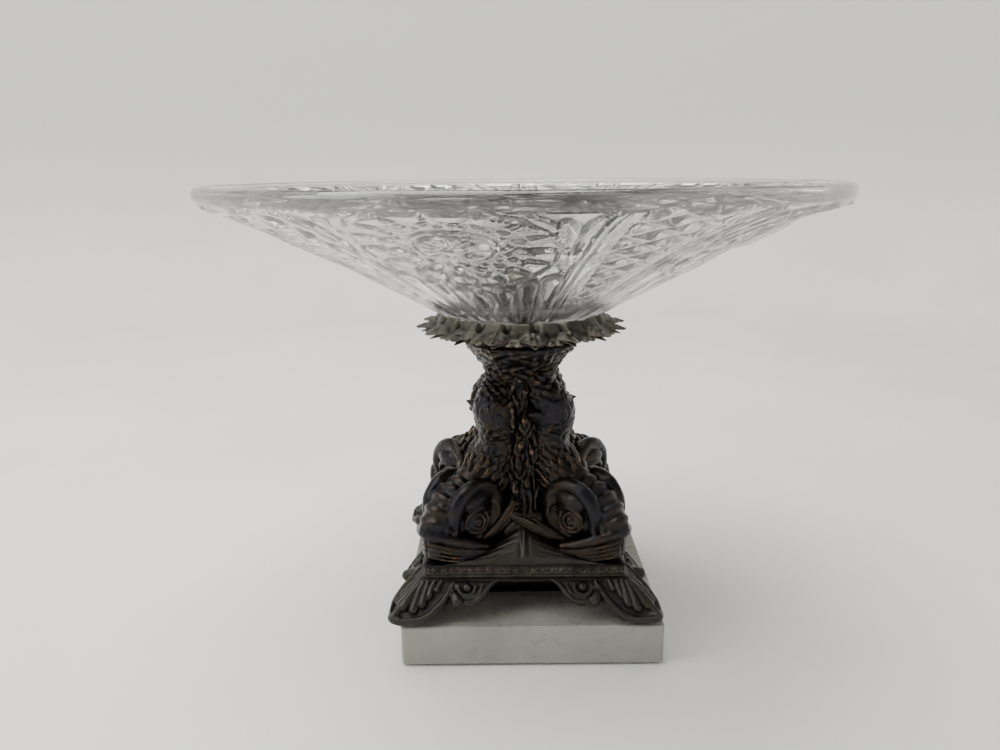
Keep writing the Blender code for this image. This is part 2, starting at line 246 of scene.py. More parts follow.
class Sculpt:
    """Distances sampled on a grid, in millimetres; negative is inside."""

    def __init__(self, low, high, cell):
        self.cell = cell * COARSE
        self.low = np.asarray(low, float)
        counts = np.ceil((np.asarray(high, float) - self.low) / self.cell).astype(int) + 1
        self.axes = [self.low[i] + self.cell * np.arange(counts[i]) for i in range(3)]
        self.d = np.full(counts, 50.0)

    def points(self, low=None, high=None, margin=0.0):
        """The slices of the grid inside a box, and its points there."""
        spans = []
        for i, axis in enumerate(self.axes):
            first = 0 if low is None else max(0, int((low[i] - margin - axis[0]) / self.cell))
            last = len(axis) if high is None else int((high[i] + margin - axis[0]) / self.cell) + 2
            spans.append(slice(first, max(first, min(last, len(axis)))))
        grid = np.meshgrid(*[axis[span] for axis, span in zip(self.axes, spans)], indexing="ij")
        return tuple(spans), np.stack(grid, -1)

    def add(self, shape, blend=0.8):
        where, p = self.points(shape.low, shape.high, 2.5 + blend)
        if p.size:
            self.d[where] = smooth_min(self.d[where], shape.distance(p), blend)

    def cut(self, shape, blend=0.4):
        where, p = self.points(shape.low, shape.high, 2.5 + blend)
        if p.size:
            self.d[where] = -smooth_min(-self.d[where], shape.distance(p), blend)

    def keep(self, distance):
        """Keeps only what lies inside this function's surface."""
        _, p = self.points()
        self.d = np.maximum(self.d, distance(p))

    def roughen(self, *layers):
        """Adds noise, in layers of (height, size, seed)."""
        _, p = self.points()
        self.d += sum(height * lattice_noise(p, size, seed) for height, size, seed in layers)

    def mesh(self, name, evening):
        points, quads = self.skin()
        return make_mesh(name, relax(points, quads, evening), quads)

    def skin(self):
        """(points, quads) of the surface, by surface nets."""
        d = self.d.copy()
        for axis in range(3):
            ends = [slice(None)] * 3
            for end in (0, -1):
                ends[axis] = end
                d[tuple(ends)] = np.maximum(d[tuple(ends)], 0.01)
        shape = np.array(d.shape) - 1
        corner = {c: d[tuple(slice(o, o + n) for o, n in zip(c, shape))]
                  for c in itertools.product((0, 1), repeat=3)}
        inside = sum((value < 0).astype(np.int8) for value in corner.values())
        active = (inside > 0) & (inside < 8)
        index = np.full(shape, -1, np.int64)
        index[active] = np.arange(active.sum())
        values = {c: value[active] for c, value in corner.items()}
        place, hits = np.zeros((active.sum(), 3)), np.zeros(active.sum())
        for a, b in itertools.combinations(values, 2):
            if sum(abs(i - j) for i, j in zip(a, b)) != 1:
                continue
            cross = (values[a] < 0) != (values[b] < 0)
            gap = np.where(cross, values[a] - values[b], 1.0)
            t = np.where(cross, values[a] / gap, 0.0)[:, None]
            place += cross[:, None] * (np.array(a) + t * (np.array(b) - np.array(a)))
            hits += cross
        place = place / hits[:, None] + np.argwhere(active)
        quads = []
        for axis in range(3):
            u, v = (axis + 1) % 3, (axis + 2) % 3
            here, there = [slice(None)] * 3, [slice(None)] * 3
            here[axis], there[axis] = slice(0, -1), slice(1, None)
            a, b = d[tuple(here)] < 0, d[tuple(there)] < 0
            for out, chosen in ((True, a & ~b), (False, ~a & b)):
                cells = np.argwhere(chosen)
                cells = cells[(cells[:, u] > 0) & (cells[:, v] > 0)]
                corners = []
                for du, dv in ((1, 1), (0, 1), (0, 0), (1, 0)):
                    cell = cells.copy()
                    cell[:, u] -= du
                    cell[:, v] -= dv
                    corners.append(index[tuple(cell.T)])
                quad = np.stack(corners, 1)
                quads.append(quad if out else quad[:, ::-1])
        return self.low + place * self.cell, np.vstack(quads)


def relax(points, quads, strength):
    """Evens a skin out, as a file does."""
    starts, ends = quads.ravel(), np.roll(quads, -1, axis=1).ravel()
    starts, ends = np.concatenate([starts, ends]), np.concatenate([ends, starts])
    count = np.bincount(starts, minlength=len(points))[:, None]
    total = np.stack([np.bincount(starts, points[ends, i], len(points)) for i in range(3)], 1)
    return points + strength * (total / np.maximum(count, 1) - points)


# ---------------------------------------------------------------- objects

def make_mesh(name, points, faces, sharp=None):
    """A smooth mesh from millimetre points above the marble; sharp is the angle that makes an edge."""
    mesh = bpy.data.meshes.new(name)
    world = (np.asarray(points) + (0, 0, MARBLE_TOP)) * MM
    mesh.from_pydata(world.tolist(), [], [list(map(int, face)) for face in faces])
    mesh.validate()
    mesh.shade_smooth()
    if sharp:
        mesh.set_sharp_from_angle(angle=radians(sharp))
    return mesh


def new_object(name, data):
    obj = bpy.data.objects.new(name, data)
    bpy.context.scene.collection.objects.link(obj)
    return obj


# ---------------------------------------------------------------- the fish
# A fish's own axes: x away from the middle along its diagonal, y to its left, z up.

FISH_REST = 22.6  # where it is cut off flat, just above the platform
MIRRORS = array((1, 1, 1), (1, -1, 1))

BODY = spline([  # x, y, z, half width, half depth
    (31, 0, 44, 12.0, 12.5), (25.5, 0, 51, 10.6, 11.3), (19.2, 0, 57, 9.0, 8.8), (15.8, 0.4, 63, 8.5, 8.2),
    (15.4, 1.2, 70, 8.5, 8.2), (17.0, 1.6, 77, 9.2, 8.8), (17.6, 0.8, 82, 9.0, 8.6),
    (15.4, -0.8, 87, 7.8, 7.6), (12.6, -1.6, 92, 6.7, 6.6), (11.0, -1.2, 98, 5.8, 5.8)], 5)


def scales(along, turn, count, pitch, height):
    """Overlapping scales that rise to free edges, which point towards the tail."""
    u, v = turn / (2 * pi) * count, along / pitch
    best = np.zeros_like(u)
    for row in (0.0, 0.5):
        across = u - row - np.round(u - row)
        down = 2 * (v / 2 - row - np.round(v / 2 - row))
        reach = np.hypot(across / 0.58, np.maximum(down, 0.0))
        best = np.maximum(best, (0.35 + 0.325 * (down + 1)) * smoothstep(1.0, 0.82, reach))
    return height * best


def body_relief(along, turn, share):
    """Scales over the body, rougher towards the tail, with a smoother strip down the fish's right."""
    strip = bell((turn - 2.6 + pi) % (2 * pi) - pi, 0.45) * smoothstep(0.75, 0.55, share)
    sway = turn + 0.22 * np.sin(along / 5.0) + 0.1 * np.sin(along / 1.9 + 3 * turn)
    rough = scales(along + 0.6 * np.sin(3 * turn), sway, 16, 2.5, 1.35) * (1 - 0.6 * strip)
    strands = 0.2 * np.cos(turn * 30 + along * 0.35) * strip
    ripple = np.cos(9 * turn + 0.28 * along) * np.cos(1.3 * along + 2 * turn)
    tail = 0.5 * ripple * smoothstep(0.6, 0.85, share)
    return (rough * smoothstep(0.1, 0.22, share) + strands + tail) * smoothstep(0.05, 0.18, share)


def lobe(centre, along, size):
    """A fan-ribbed lobe of the crest; along points down the slope of the forehead."""
    depth, ribs = 0.16, 12
    up = unit(np.cross(along, (0, 1, 0)))
    axes = np.stack([along, array(0, 1, 0), up], 1)
    smooth = ball(centre, size, axes)

    def distance(p):
        q = (p - centre) @ axes
        angle = np.arctan2(q[..., 0], q[..., 2] + size[2] * 1.1)
        return smooth.distance(p) - depth * np.cos(ribs * angle)

    return Shape(distance, smooth.low - depth, smooth.high + depth)


def stripes(count, height):
    """Relief for a sweep: count grooves that run along it."""
    return lambda along, turn, share: height * np.cos(count * turn)


def add_head(fish):
    """The skull and snout, the jaws and the folds of the lips."""
    fish.add(ball((38.5, 0, 39), (17.0, 10.8, 11.6)), 0)
    fish.add(ball((49.5, 0, 37), (10.4, 7.6, 8)), 3)
    fish.add(ball((33, 0, 33), (14, 13, 9)), 3)
    fish.add(ball((32, 0, 46), (10, 9, 9)), 3)
    for mirror in MIRRORS:  # the gill covers, and the hollows that the eyes sit in
        fish.add(ball(mirror * (28.5, 10.6, 39), (5.5, 4.4, 10.5)), 1.5)
        fish.cut(ball(mirror * (39.5, 15.2, 40.2), (10.2, 6.4, 10.4)), 1.0)
    # The lower jaw is a block that narrows to the front.
    jaw = spline([(28, 0, 24.4, 14.5, 2.6), (39, 0, 24.8, 13.8, 3.4), (49, 0, 26.3, 9.8, 4.4),
                  (54.2, 0, 27.6, 5.2, 4.2)], 6)
    fish.add(sweep(jaw[:, :3], jaw[:, 3], jaw[:, 4], side=(0, 1, 0), power=2.5, cap=3.6), 1.2)
    for mirror in MIRRORS:
        slit = [(62.5, 0.5, 33.6), (58, 5.2, 33), (50, 10.4, 30.6), (43.5, 13.6, 28), (38.5, 15.4, 26.6)]
        fish.cut(tube(mirror * slit, (1.6, 1.3, 1.1, 0.9, 0.4)), 0.5)
        # The lower lip and the folds under it.
        for rise, out, thick in ((0.0, 0.0, 1.15), (-2.3, 0.5, 0.7), (-4.3, 0.4, 0.65), (-6.2, 0.0, 0.7)):
            lip = [(57.6 + out * 0.4, 1.2, 31.4 + rise), (55.8 + out * 0.3, 4.8, 30.9 + rise * 0.97),
                   (50, 9.7 + out, 28.8 + rise * 0.85), (43.5, 13 + out, 26.9 + rise * 0.6),
                   (37, 15.6 + out, 25.8 + rise * 0.35)]
            fish.add(tube(mirror * lip, (thick, thick, thick, 0.9 * thick, 0.5)), 0.7)
        upper = [(58.4, 1, 36.2), (56.2, 5.2, 35.2), (51, 9.9, 33), (44.5, 13.4, 30.3), (38.4, 15.6, 28.4)]
        fish.add(tube(mirror * upper, (2.7, 2.6, 2.3, 2.0, 1.2)), 0.9)
        # Folds fall from the bridge of the nose to the lip.
        for k, (x, y) in enumerate(((56.0, 4.6), (53.4, 6.8), (50.6, 8.8))):
            fold = [(x - 3.0, y - 1.6, 42 - k), (x - 0.4, y + 0.1, 38.4 - k), (x + 0.6, y + 0.9, 35.4 - k)]
            fish.add(tube(mirror * fold, (0.7, 1.25, 0.8)), 0.6)
    fish.add(ball((56.4, 0, 38.0), (4.0, 4.6, 3.5)), 0.9)


def add_eyes(fish):
    """Ringed eyes under a lid and a heavy, curling brow."""
    for mirror in MIRRORS:
        eye, look = mirror * (39.0, 10.0, 38.6), unit(mirror * (0.30, 1.0, 0.06))
        fish.add(ball(eye - look * 1.4, (6.8, 3.4, 6.6)), 0.8)
        fish.add(ball(mirror * (38.2, 9.6, 47.0), (8.6, 4.1, 4.6)), 1.0)
        # Two rings round a hollow, and in it the eyeball with its drilled pupil.
        fish.add(ring(eye + look * 0.9, look, 5.3, 0.95), 0.45)
        fish.add(ring(eye + look * 1.7, look, 3.3, 0.62), 0.25)
        fish.cut(ball(eye + look * 3.3, (2.9, 2.0, 2.9)), 0.15)
        fish.add(ball(eye + look * 0.9, 2.3), 0.1)
        fish.cut(ball(eye + look * 3.3, 0.75), 0.1)
        lid = [(32.6, 11.6, 39.6), (34.0, 12.3, 43.4), (39.0, 12.5, 45.2), (44.0, 11.6, 43.0),
               (45.4, 10.6, 39.0)]
        fish.add(tube(mirror * lid, (0.7, 1.2, 1.4, 1.2, 0.7)), 0.5)
        brow = spline([(26.4, 12.0, 41, 1.8), (27.4, 11.4, 46.4, 2.8), (31.0, 10.2, 51.2, 3.3),
                       (36.8, 9.2, 53.4, 3.5), (43.2, 8.7, 51.8, 3.7), (48.0, 8.2, 47.2, 3.7),
                       (49.8, 8.2, 41.6, 3.1), (49.2, 8.8, 36.4, 1.5)], 4)
        fish.add(sweep(mirror * brow[:, :3], brow[:, 3], brow[:, 3] * 0.95, side=(0.3, 0, 1)), 0.4)


def add_crest(fish):
    """The ribbed crest down the middle of the forehead, with three strands on each side of it."""
    for mirror, k in itertools.product(MIRRORS, range(3)):
        y = 5.6 + 1.2 * k
        strand = [(26 - 0.5 * k, y + 0.6, 57.4 - 1.6 * k), (34, y + 0.4, 54.6 - 1.1 * k),
                  (42, y + 0.2, 51.2 - 1.1 * k), (49, y - 0.3, 46.2 - 1.2 * k), (53.6, y - 0.8, 40.8 - k)]
        fish.add(tube(mirror * strand, (0.6, 1.15, 1.25, 1.1, 0.6)), 0.45)
    # The crest runs from the neck to the nose, given here as (x, z): a core under a row of ribbed lobes.
    path = spline([(23.5, 57.0), (31, 54.4), (38, 52.0), (45, 49.4), (50.8, 45.4), (54.2, 40.4),
                   (55.8, 36.4)], 24)
    slope = unit(np.gradient(path, axis=0))
    core = np.stack([path[::6, 0] - 0.9, 0 * path[::6, 0], path[::6, 1] - 0.7], 1)
    fish.add(sweep(core, (5.0, 6.8, 7.4, 6.8, 5.2), (3.8, 4.4, 4.6, 4.2, 3.4), side=(0, 1, 0)), 1.4)
    lengths = path_lengths(path)
    for at in np.arange(1.0, lengths[-1], 5.1):
        i = int(np.searchsorted(lengths, at))
        size = array(3.5, 6.4, 4.9) * (0.8 + 0.2 * smoothstep(0, 8, at))
        fish.add(lobe(array(path[i, 0], 0, path[i, 1]), array(slope[i, 0], 0, slope[i, 1]), size), 1.1)


def add_fins(fish):
    """A raised fin on the fish's left, a drooping one on its right, and a hollow behind each."""
    high = spline([(36.5, 12.6, 30.5, 1.2), (33, 15, 33.5, 2.6), (29, 17, 37.5, 3.3), (25.8, 18.4, 41.6, 3.4),
                   (24.4, 18.9, 44.6, 2.5)], 4)
    low = spline([(37, -13.2, 30, 1.2), (33, -16.8, 32.4, 2.5), (28, -21, 35.6, 3.1), (23, -25, 38.8, 2.8),
                  (18.4, -28.6, 40.4, 1.2)], 4)
    for fin in (high, low):
        fish.add(sweep(fin[:, :3], fin[:, 3], fin[:, 3] * 0.72, side=(0.6, 0.2, 0.8),
                       relief=stripes(9, 0.22)), 0.5)
    fish.cut(tube([(25.6, 19.6, 42.6), (24.0, 19.8, 45.4), (22.6, 19.6, 48)], (0.7, 1.7, 2.2)), 0.3)
    fish.cut(tube([(30, -20.6, 37.4), (25, -24.6, 40.4), (20, -28.4, 42)], (0.2, 0.8, 0.2)), 0.3)


def add_ruff(fish):
    """Pointed tufts round the neck, in staggered rows."""
    rng = np.random.default_rng(11)
    across, count = array(0, 1, 0), 17
    for row, share in enumerate((0.13, 0.175, 0.22, 0.265, 0.31)):
        i = int(share * (len(BODY) - 1))
        centre, along = BODY[i, :3], unit(BODY[i + 1, :3] - BODY[i - 1, :3])
        up = np.cross(along, across)
        for k in range(count):
            turn = 2 * pi * (k + 0.5 * (row % 2) + rng.uniform(-0.2, 0.2)) / count
            out = cos(turn) * across + sin(turn) * up
            length, size = rng.uniform(3.0, 4.6), rng.uniform(1.3, 1.9)
            if out[0] < -0.55:  # hidden inside the column
                continue
            root = centre + out * (cos(turn) ** 2 * BODY[i, 3] + sin(turn) ** 2 * BODY[i, 4])
            side = np.cross(along, out)
            tip = root + along * length + out * 1.2 + side * rng.uniform(-0.7, 0.7)
            fish.add(sweep([root - along, root + along * 0.35 * length + out * 0.9, tip],
                           (size * 0.9, size * 0.8, 0.3), (0.9, 0.85, 0.3), side=side), 0.3)


def add_tail(fish):
    """The elbow on the fish's right and the scalloped fin on its left."""
    fish.add(tube([(16.5, -5.5, 77.5), (17.6, -9.6, 80.6), (19.4, -16.0, 82.8)], (4.2, 3.3, 0.6)), 1.2)
    root, rays = array(14.5, 6.0, 86), 7
    for k in range(rays):
        angle = radians(-74 + 17 * k)
        reach = 12.4 - 0.9 * abs(k - rays // 2)
        spread = reach * cos(angle)
        tip = root + array(0.36 * spread + 0.6, 0.6 * spread, -4.5 + reach * sin(angle))
        middle = (root + tip) / 2 + array(0.9, 1.2, -0.5)
        fish.add(sweep([root, middle, tip], (1.4, 2.2, 1.7), (1.2, 1.4, 1.0), side=(0, 0.2, 1)), 0.7)


def make_fish():
    """One fish, head down on its corner; it is cut off flat at the platform and rougher above the head."""
    fish = Sculpt((3, -32, 19.5), (65, 24, 99), 0.4)
    fish.add(sweep(BODY[:, :3], BODY[:, 3], BODY[:, 4], side=(0, 1, 0), relief=body_relief), 0)
    for add in (add_head, add_ruff, add_eyes, add_crest, add_fins, add_tail):
        add(fish)
    fish.roughen((0.10, 1.3, 0), (0.12, 3.7, 1))
    _, p = fish.points()
    fish.d += 0.30 * lattice_noise(p, 2.4, 8) * smoothstep(56, 64, p[..., 2])
    fish.keep(lambda q: FISH_REST - q[..., 2])
    return fish.mesh("fish", 0.4)


# ---------------------------------------------------------------- the stand

FOOT_TOP, FOOT_WALL, FOOT_REACH = 15.9, 3.6, 57.2
FOOT_CONTOUR = array(  # the lower edge, as (along the side, height)
    (0, 15.9), (10.4, 15.7), (12.6, 15.1), (14.8, 13.5), (17.1, 11.3), (20.9, 8.9), (24.4, 8.1), (28.3, 7.9),
    (31.9, 8.0), (34.9, 5.9), (39.5, 3.3), (43, 2.4), (46.4, 2.1), (53.4, 2.3), (60, 2.9))
FOOT_FLUTES = (  # three points and the end's radius
    (((35.2, 15.3), (36.2, 14.1), (36.9, 12.7)), 1.45), (((38.2, 15.3), (39.3, 13.2), (40.2, 10.9)), 1.65),
    (((40.9, 15.3), (41.9, 12.0), (42.9, 8.5)), 2.0), (((43.0, 15.0), (45.0, 11.0), (46.6, 7.1)), 2.1),
    (((44.4, 14.4), (47.7, 11.2), (50.6, 7.9)), 1.8))
SCROLL = (24.4, 13.7)


def foot_face(height):
    """How far out a foot's sloping face stands at a height."""
    return 43.6 + 1.05 * np.clip(15.5 - height, -1.0, 12.3)


def foot_shell(q):
    """The thin cast wall of a foot, in the quarter with x and y above zero."""
    a, b, h = q[..., 0], q[..., 1], q[..., 2]
    outside = -smooth_min(-(a - foot_face(h)), -(b - foot_face(h)), 1.0) * 0.7
    along = np.minimum(a, b)
    floor = np.interp(along, FOOT_CONTOUR[:, 0], FOOT_CONTOUR[:, 1])
    steep = np.interp(along, (9, 10.5, 17, 20, 60), (1.0, 0.62, 0.62, 0.9, 0.95))
    ends = np.maximum((floor - h) * steep, h - FOOT_TOP)
    return -smooth_min(-np.maximum(outside, -(outside + FOOT_WALL)), -ends, 0.9)


def make_foot():
    """The foot at the corner with x and y above zero."""
    foot = Sculpt((7.5, 7.5, -0.4), (59.5, 59.5, 17.5), 0.36)
    foot.add(Shape(foot_shell, (7, 7, -0.5), (60, 60, 17.5)), 0)
    turns = np.linspace(radians(-190), radians(10), 15)
    coil = np.stack([SCROLL[0] + 3.6 * np.cos(turns), SCROLL[1] + 2.5 * np.sin(turns)], 1)
    # Ropes on the sloping face, each as (its points along the side and up, out from the face, radii, blend).
    ropes = [
        # The raised band starts beside the scroll and follows the lower edge out to the toe.
        ([(29.9, 15.0), (31.2, 13.2), (33.1, 10.7), (35.9, 8.1), (39.9, 5.4), (45.2, 3.8), (52.4, 3.6),
          (55.2, 5.0)], 0.5, (1.0, 1.3, 1.5, 1.55, 1.5, 1.5, 1.5, 1.3), 0.35),
        # Flutes fan down the flank like the fingers of a shell.
        *[(flute, 0.4, (1.0, 0.82 * end, end), 0.1) for flute, end in FOOT_FLUTES],
        # The scroll: an outer arc, an inner one, and the coil round the knob.
        ([(11.4, 15.7), (13.4, 14.9), (15.4, 13.4), (17.9, 11.1), (21.2, 9.3), (24.8, 8.8), (28.0, 9.6),
          (29.4, 11.8), (28.7, 14.4)], 0.7, (0.7, 0.85, 1.0, 1.2, 1.3, 1.35, 1.2, 0.95, 0.7), 0.25),
        ([(17.6, 14.6), (18.8, 12.4), (21.2, 10.8), (24.6, 10.4), (27.2, 11.4), (28.0, 13.2)],
         0.8, (0.6, 0.75, 0.95, 1.0, 0.85, 0.6), 0.1),
        (coil, 0.9, (0.8,) * len(coil), 0.1),
    ]
    for axes in ((0, 1, 2), (1, 0, 2)):  # one flank, then its mirror image

        def on_face(points, out):
            a, h = array(*points).T
            return np.stack([a, foot_face(h) + out, h], 1)[:, axes]

        for points, out, radii, blend in ropes:
            foot.add(tube(on_face(points, out), radii, 3), blend)
        foot.add(ball(on_face([(SCROLL[0], SCROLL[1] - 0.2)], 0.7)[0], 2.0), 0.1)
        # A bean lies in the bend between the scroll and the flutes.
        bean = on_face([(30.2, 12.9), (29.5, 11.3), (28.5, 9.9)], (0.6, 1.5, 1.9))
        foot.add(tube(bean, (1.0, 2.1, 2.6), 3), 0.1)
    # The ridge down the corner, and the toe it ends in.
    ridge = [(43.6, 43.6, 15.5), (46.9, 46.9, 12.9), (49.6, 49.6, 10.4), (52.2, 52.2, 7.9), (54.4, 54.4, 5.4)]
    foot.add(tube(ridge, (0.8, 1.0, 1.2, 1.3, 1.5)), 0.8)
    foot.add(ball((53.8, 53.8, 3.9), (2.9, 2.9, 2.0)), 1.0)
    # Under the toe, set back from its edge, is the pad that the foot stands on.
    foot.add(tube([(43, 43, 5), (47, 47, 3.2), (49.5, 49.5, 2.0)], (2.2, 2.6, 2.6)), 0.8)
    foot.keep(lambda q: np.maximum(0.15 - q[..., 2], np.maximum(q[..., 0], q[..., 1]) - FOOT_REACH))
    foot.roughen((0.08, 1.4, 2), (0.1, 4.0, 3))
    return foot.mesh("foot", 0.35)


def rounded_square(half, corner, height, across=13):
    """A square ring with round corners and points along its sides."""
    flat = [(half, y) for y in np.linspace(corner - half, half - corner, across)[:-1]]
    bend = [(half - corner + corner * cos(angle), half - corner + corner * sin(angle))
            for angle in np.linspace(0, pi / 2, 9)[:-1]]
    side = array(*[(x, y, height) for x, y in flat + bend])
    return np.vstack([side @ spin(quarter * pi / 2).T for quarter in range(4)])


def skin_rings(rings, closed=True):
    """Points and faces through rings of equally many points, closed round or capped at both ends."""
    count, last = len(rings[0]), len(rings) - 1
    faces = []
    for j in range(last + closed):
        a, b = j * count, ((j + 1) % len(rings)) * count
        faces += [(a + i, a + (i + 1) % count, b + (i + 1) % count, b + i) for i in range(count)]
    if not closed:
        faces += [tuple(range(count))[::-1], tuple(range(last * count, (last + 1) * count))]
    return np.vstack(rings), faces


def bead(centre, radii, turn, parts=8):
    """Points and faces of a small ball."""
    points, faces = [], []
    rows = parts // 2
    for j, i in itertools.product(range(rows + 1), range(parts)):
        tilt, round_it = pi * j / rows, 2 * pi * i / parts
        points.append((sin(tilt) * cos(round_it), sin(tilt) * sin(round_it), cos(tilt)))
        if j < rows:
            k = (i + 1) % parts
            a, b = j * parts, (j + 1) * parts
            faces.append((a + i, b + i, b + k, a + k))
    return (array(*points) * radii + centre) @ turn.T, faces


def join(parts):
    """One set of points and faces from several."""
    points, faces, base = [], [], 0
    for p, f in parts:
        points.append(p)
        faces += [tuple(i + base for i in face) for face in f]
        base += len(p)
    return np.vstack(points), faces


BEADS, BEAD_PITCH, BEAD_HEIGHT = 43, 1.92, 19.05


def make_platform():
    """The square platform, whose frieze alternates tall beads with pairs of small ones."""
    profile = [  # half width, height, corner radius
        (4.4, 24.5, 4.4), (4.4, 17.4, 4.4), (30, 17.2, 6), (38.6, 16.2, 3), (41.4, 15.2, 2.2),
        (42.7, 15.0, 1.8), (44.3, 15.0, 1.7), (44.7, 15.3, 1.7), (44.7, 15.9, 1.7), (44.2, 16.25, 1.7),
        (42.7, 16.5, 1.6), (42.6, 17.1, 1.6), (42.1, 17.4, 1.5), (41.8, 19.1, 1.5), (42.1, 20.7, 1.5),
        (42.8, 20.95, 1.6), (43.1, 21.15, 1.7), (43.1, 21.65, 1.7), (42.7, 22.0, 1.8), (41.6, 22.3, 2.4),
        (39.6, 22.8, 3.4), (36.8, 23.6, 5), (33, 24.2, 6), (24, 24.5, 8), (12, 24.5, 8)]
    parts = [skin_rings([rounded_square(half, corner, height)[::-1] for half, height, corner in profile])]
    for side, k in itertools.product(range(4), range(BEADS)):
        along = (k - (BEADS - 1) / 2) * BEAD_PITCH
        beads = [((42.1, along, BEAD_HEIGHT), (0.85, 0.86, 1.55))]
        if k % 2 == 0:
            beads = [((42.2, along, BEAD_HEIGHT + lift), (0.72, 0.78, 0.74)) for lift in (-0.88, 0.88)]
        parts += [bead(centre, radii, spin(side * pi / 2)) for centre, radii in beads]
    points, faces = join(parts)
    points[:, 2] += 0.06 * lattice_noise(points, 6.0, 5)
    return make_mesh("platform", points, faces, sharp=40)


def make_skirt():
    """A rough dark inner wall under the stand, put there as painted shade: it darkens the hollow seen through
    the arches.
    """
    profile = [  # half width, height, corner radius
        (26.6, 17.4, 5.0), (26.8, 12.0, 5.0), (27.4, 5.0, 5.0), (27.6, 0.9, 5.0), (26.9, 0.3, 4.6),
        (24.9, 0.3, 3.4), (24.4, 0.9, 3.2), (24.2, 5.0, 3.2), (23.8, 17.4, 3.2)]
    points, faces = skin_rings([rounded_square(half, corner, height, 25) for half, height, corner in profile])
    push = unit(points * (1, 1, 0) + 1e-6)
    rough = 0.35 * lattice_noise(points, 5.0, 9) + 0.2 * lattice_noise(points, 2.0, 10)
    return make_mesh("skirt", points + push * rough[:, None], faces)


# ---------------------------------------------------------------- the leaves and reeds between the fish

def make_open_leaf():
    """The leaf that opens like a book over one side of the platform; it faces -y."""
    leaf = Sculpt((-34, -44.6, 21.2), (34, -24, 40), 0.45)

    def distance(q):
        x, y, z = np.abs(q[..., 0]), q[..., 1], q[..., 2]
        down = np.clip((-y - 29) / 13.6, 0, 1.1)
        width = np.interp(down, (0, 0.35, 0.7, 1.0, 1.1), (13, 19, 25, 31, 32))
        top = np.interp(down, (0, 0.3, 0.65, 1.0, 1.1), (37.0, 34.8, 30.8, 25.6, 24.2))
        side = np.clip(x / width, 0, 1.3)
        height = 22.4 + (top - 22.4) * np.clip(1 - side, -0.3, 1) + 0.8 * np.sin(pi * np.clip(side, 0, 1))
        vein = 0.7 * bell(x, 0.75) - 0.4 * bell(x - 1.8, 0.8)
        lines = 0.17 * np.cos(3.0 * (y + 42) + 0.55 * x)
        lines *= smoothstep(1.5, 4.0, x) * smoothstep(1.0, 0.8, side)
        return np.maximum((z - height - vein - lines) * 0.66, -42.9 - y)

    leaf.add(Shape(distance, (-34, -45, 21), (34, -24, 41)), 0)
    for side in (1, -1):  # the small arch where two leaves meet at the top
        arch = array((0, -30.5, 37.6), (2.6, -31.2, 37.4), (5.6, -32.2, 35.2), (8.2, -33.2, 32.4))
        leaf.add(tube(arch * (side, 1, 1), (1.1, 1.3, 1.2, 0.6)), 0.5)
    leaf.roughen((0.1, 1.6, 12), (0.12, 5.0, 13))
    leaf.keep(lambda q: 21.7 - q[..., 2])
    return leaf.mesh("open_leaf", 0.4)


STEMS = (
    [(-3.2, -31, 37), (-3.6, -26.5, 45), (-2.4, -21, 54), (-2.2, -18.2, 64), (-2.6, -17, 76),
     (-2.2, -13, 92)],
    [(2.8, -30, 38), (3.2, -25.4, 47), (1.6, -20, 58), (2.4, -18, 70), (1.6, -16.2, 82), (2.4, -12.6, 93)],
    [(0.2, -31.5, 37.6), (0.4, -27, 46), (-0.6, -22, 56), (0.4, -19, 68), (0.2, -17.2, 80), (0, -13.2, 93)],
    [(5.2, -27, 40), (4.8, -22.5, 49), (4.2, -19, 60), (4.6, -17, 70), (3.8, -14.4, 80)],
    [(-5.4, -27, 40), (-5.2, -22.8, 48), (-4.4, -19.2, 58), (-4.6, -16.8, 70), (-4.4, -14, 82)])
BUDS = (  # middle, half length, half width, lean
    ((0.9, -19.8, 79.0), 4.6, 2.3, 0.05), ((-1.8, -21.6, 58.4), 4.8, 2.5, -0.1),
    ((1.7, -24.6, 51.6), 3.8, 2.0, 0.2), ((-3.4, -25.6, 48.6), 4.1, 2.2, -0.2),
    ((-1.0, -20.0, 67.4), 3.6, 1.8, 0.3), ((3.8, -19.4, 64.4), 3.4, 1.5, -0.3),
    ((-2.8, -16.8, 86.0), 3.4, 1.6, -0.4), ((2.6, -17.8, 71.6), 3.2, 1.5, 0.5),
    ((1.2, -15.6, 90.5), 3.6, 1.8, 0.3))
BLADES = 44


def add_bud(reeds, middle, long, wide, lean):
    """A grooved bud, held by two sheaths."""
    low = array(*middle) - array(lean, 0.3, 1) * long
    high = array(*middle) + array(lean, 0.1, 1) * long
    mid = (low + high) / 2 + array(0, -0.5, 0)
    size = (0.5, wide, 0.4)
    reeds.add(sweep(spline([low, mid, high], 5), size, size, side=(1, 0, 0), relief=stripes(6, 0.12)), 0.15)
    for side in (wide, -wide):
        sheath = [low + array(0, 0.2, -2), low + array(side * 0.8, 0.3, long * 0.25),
                  mid + array(side * 1.05, 0.5, long * 0.3)]
        reeds.add(tube(sheath, (0.5, 0.75, 0.35)), 0.2)


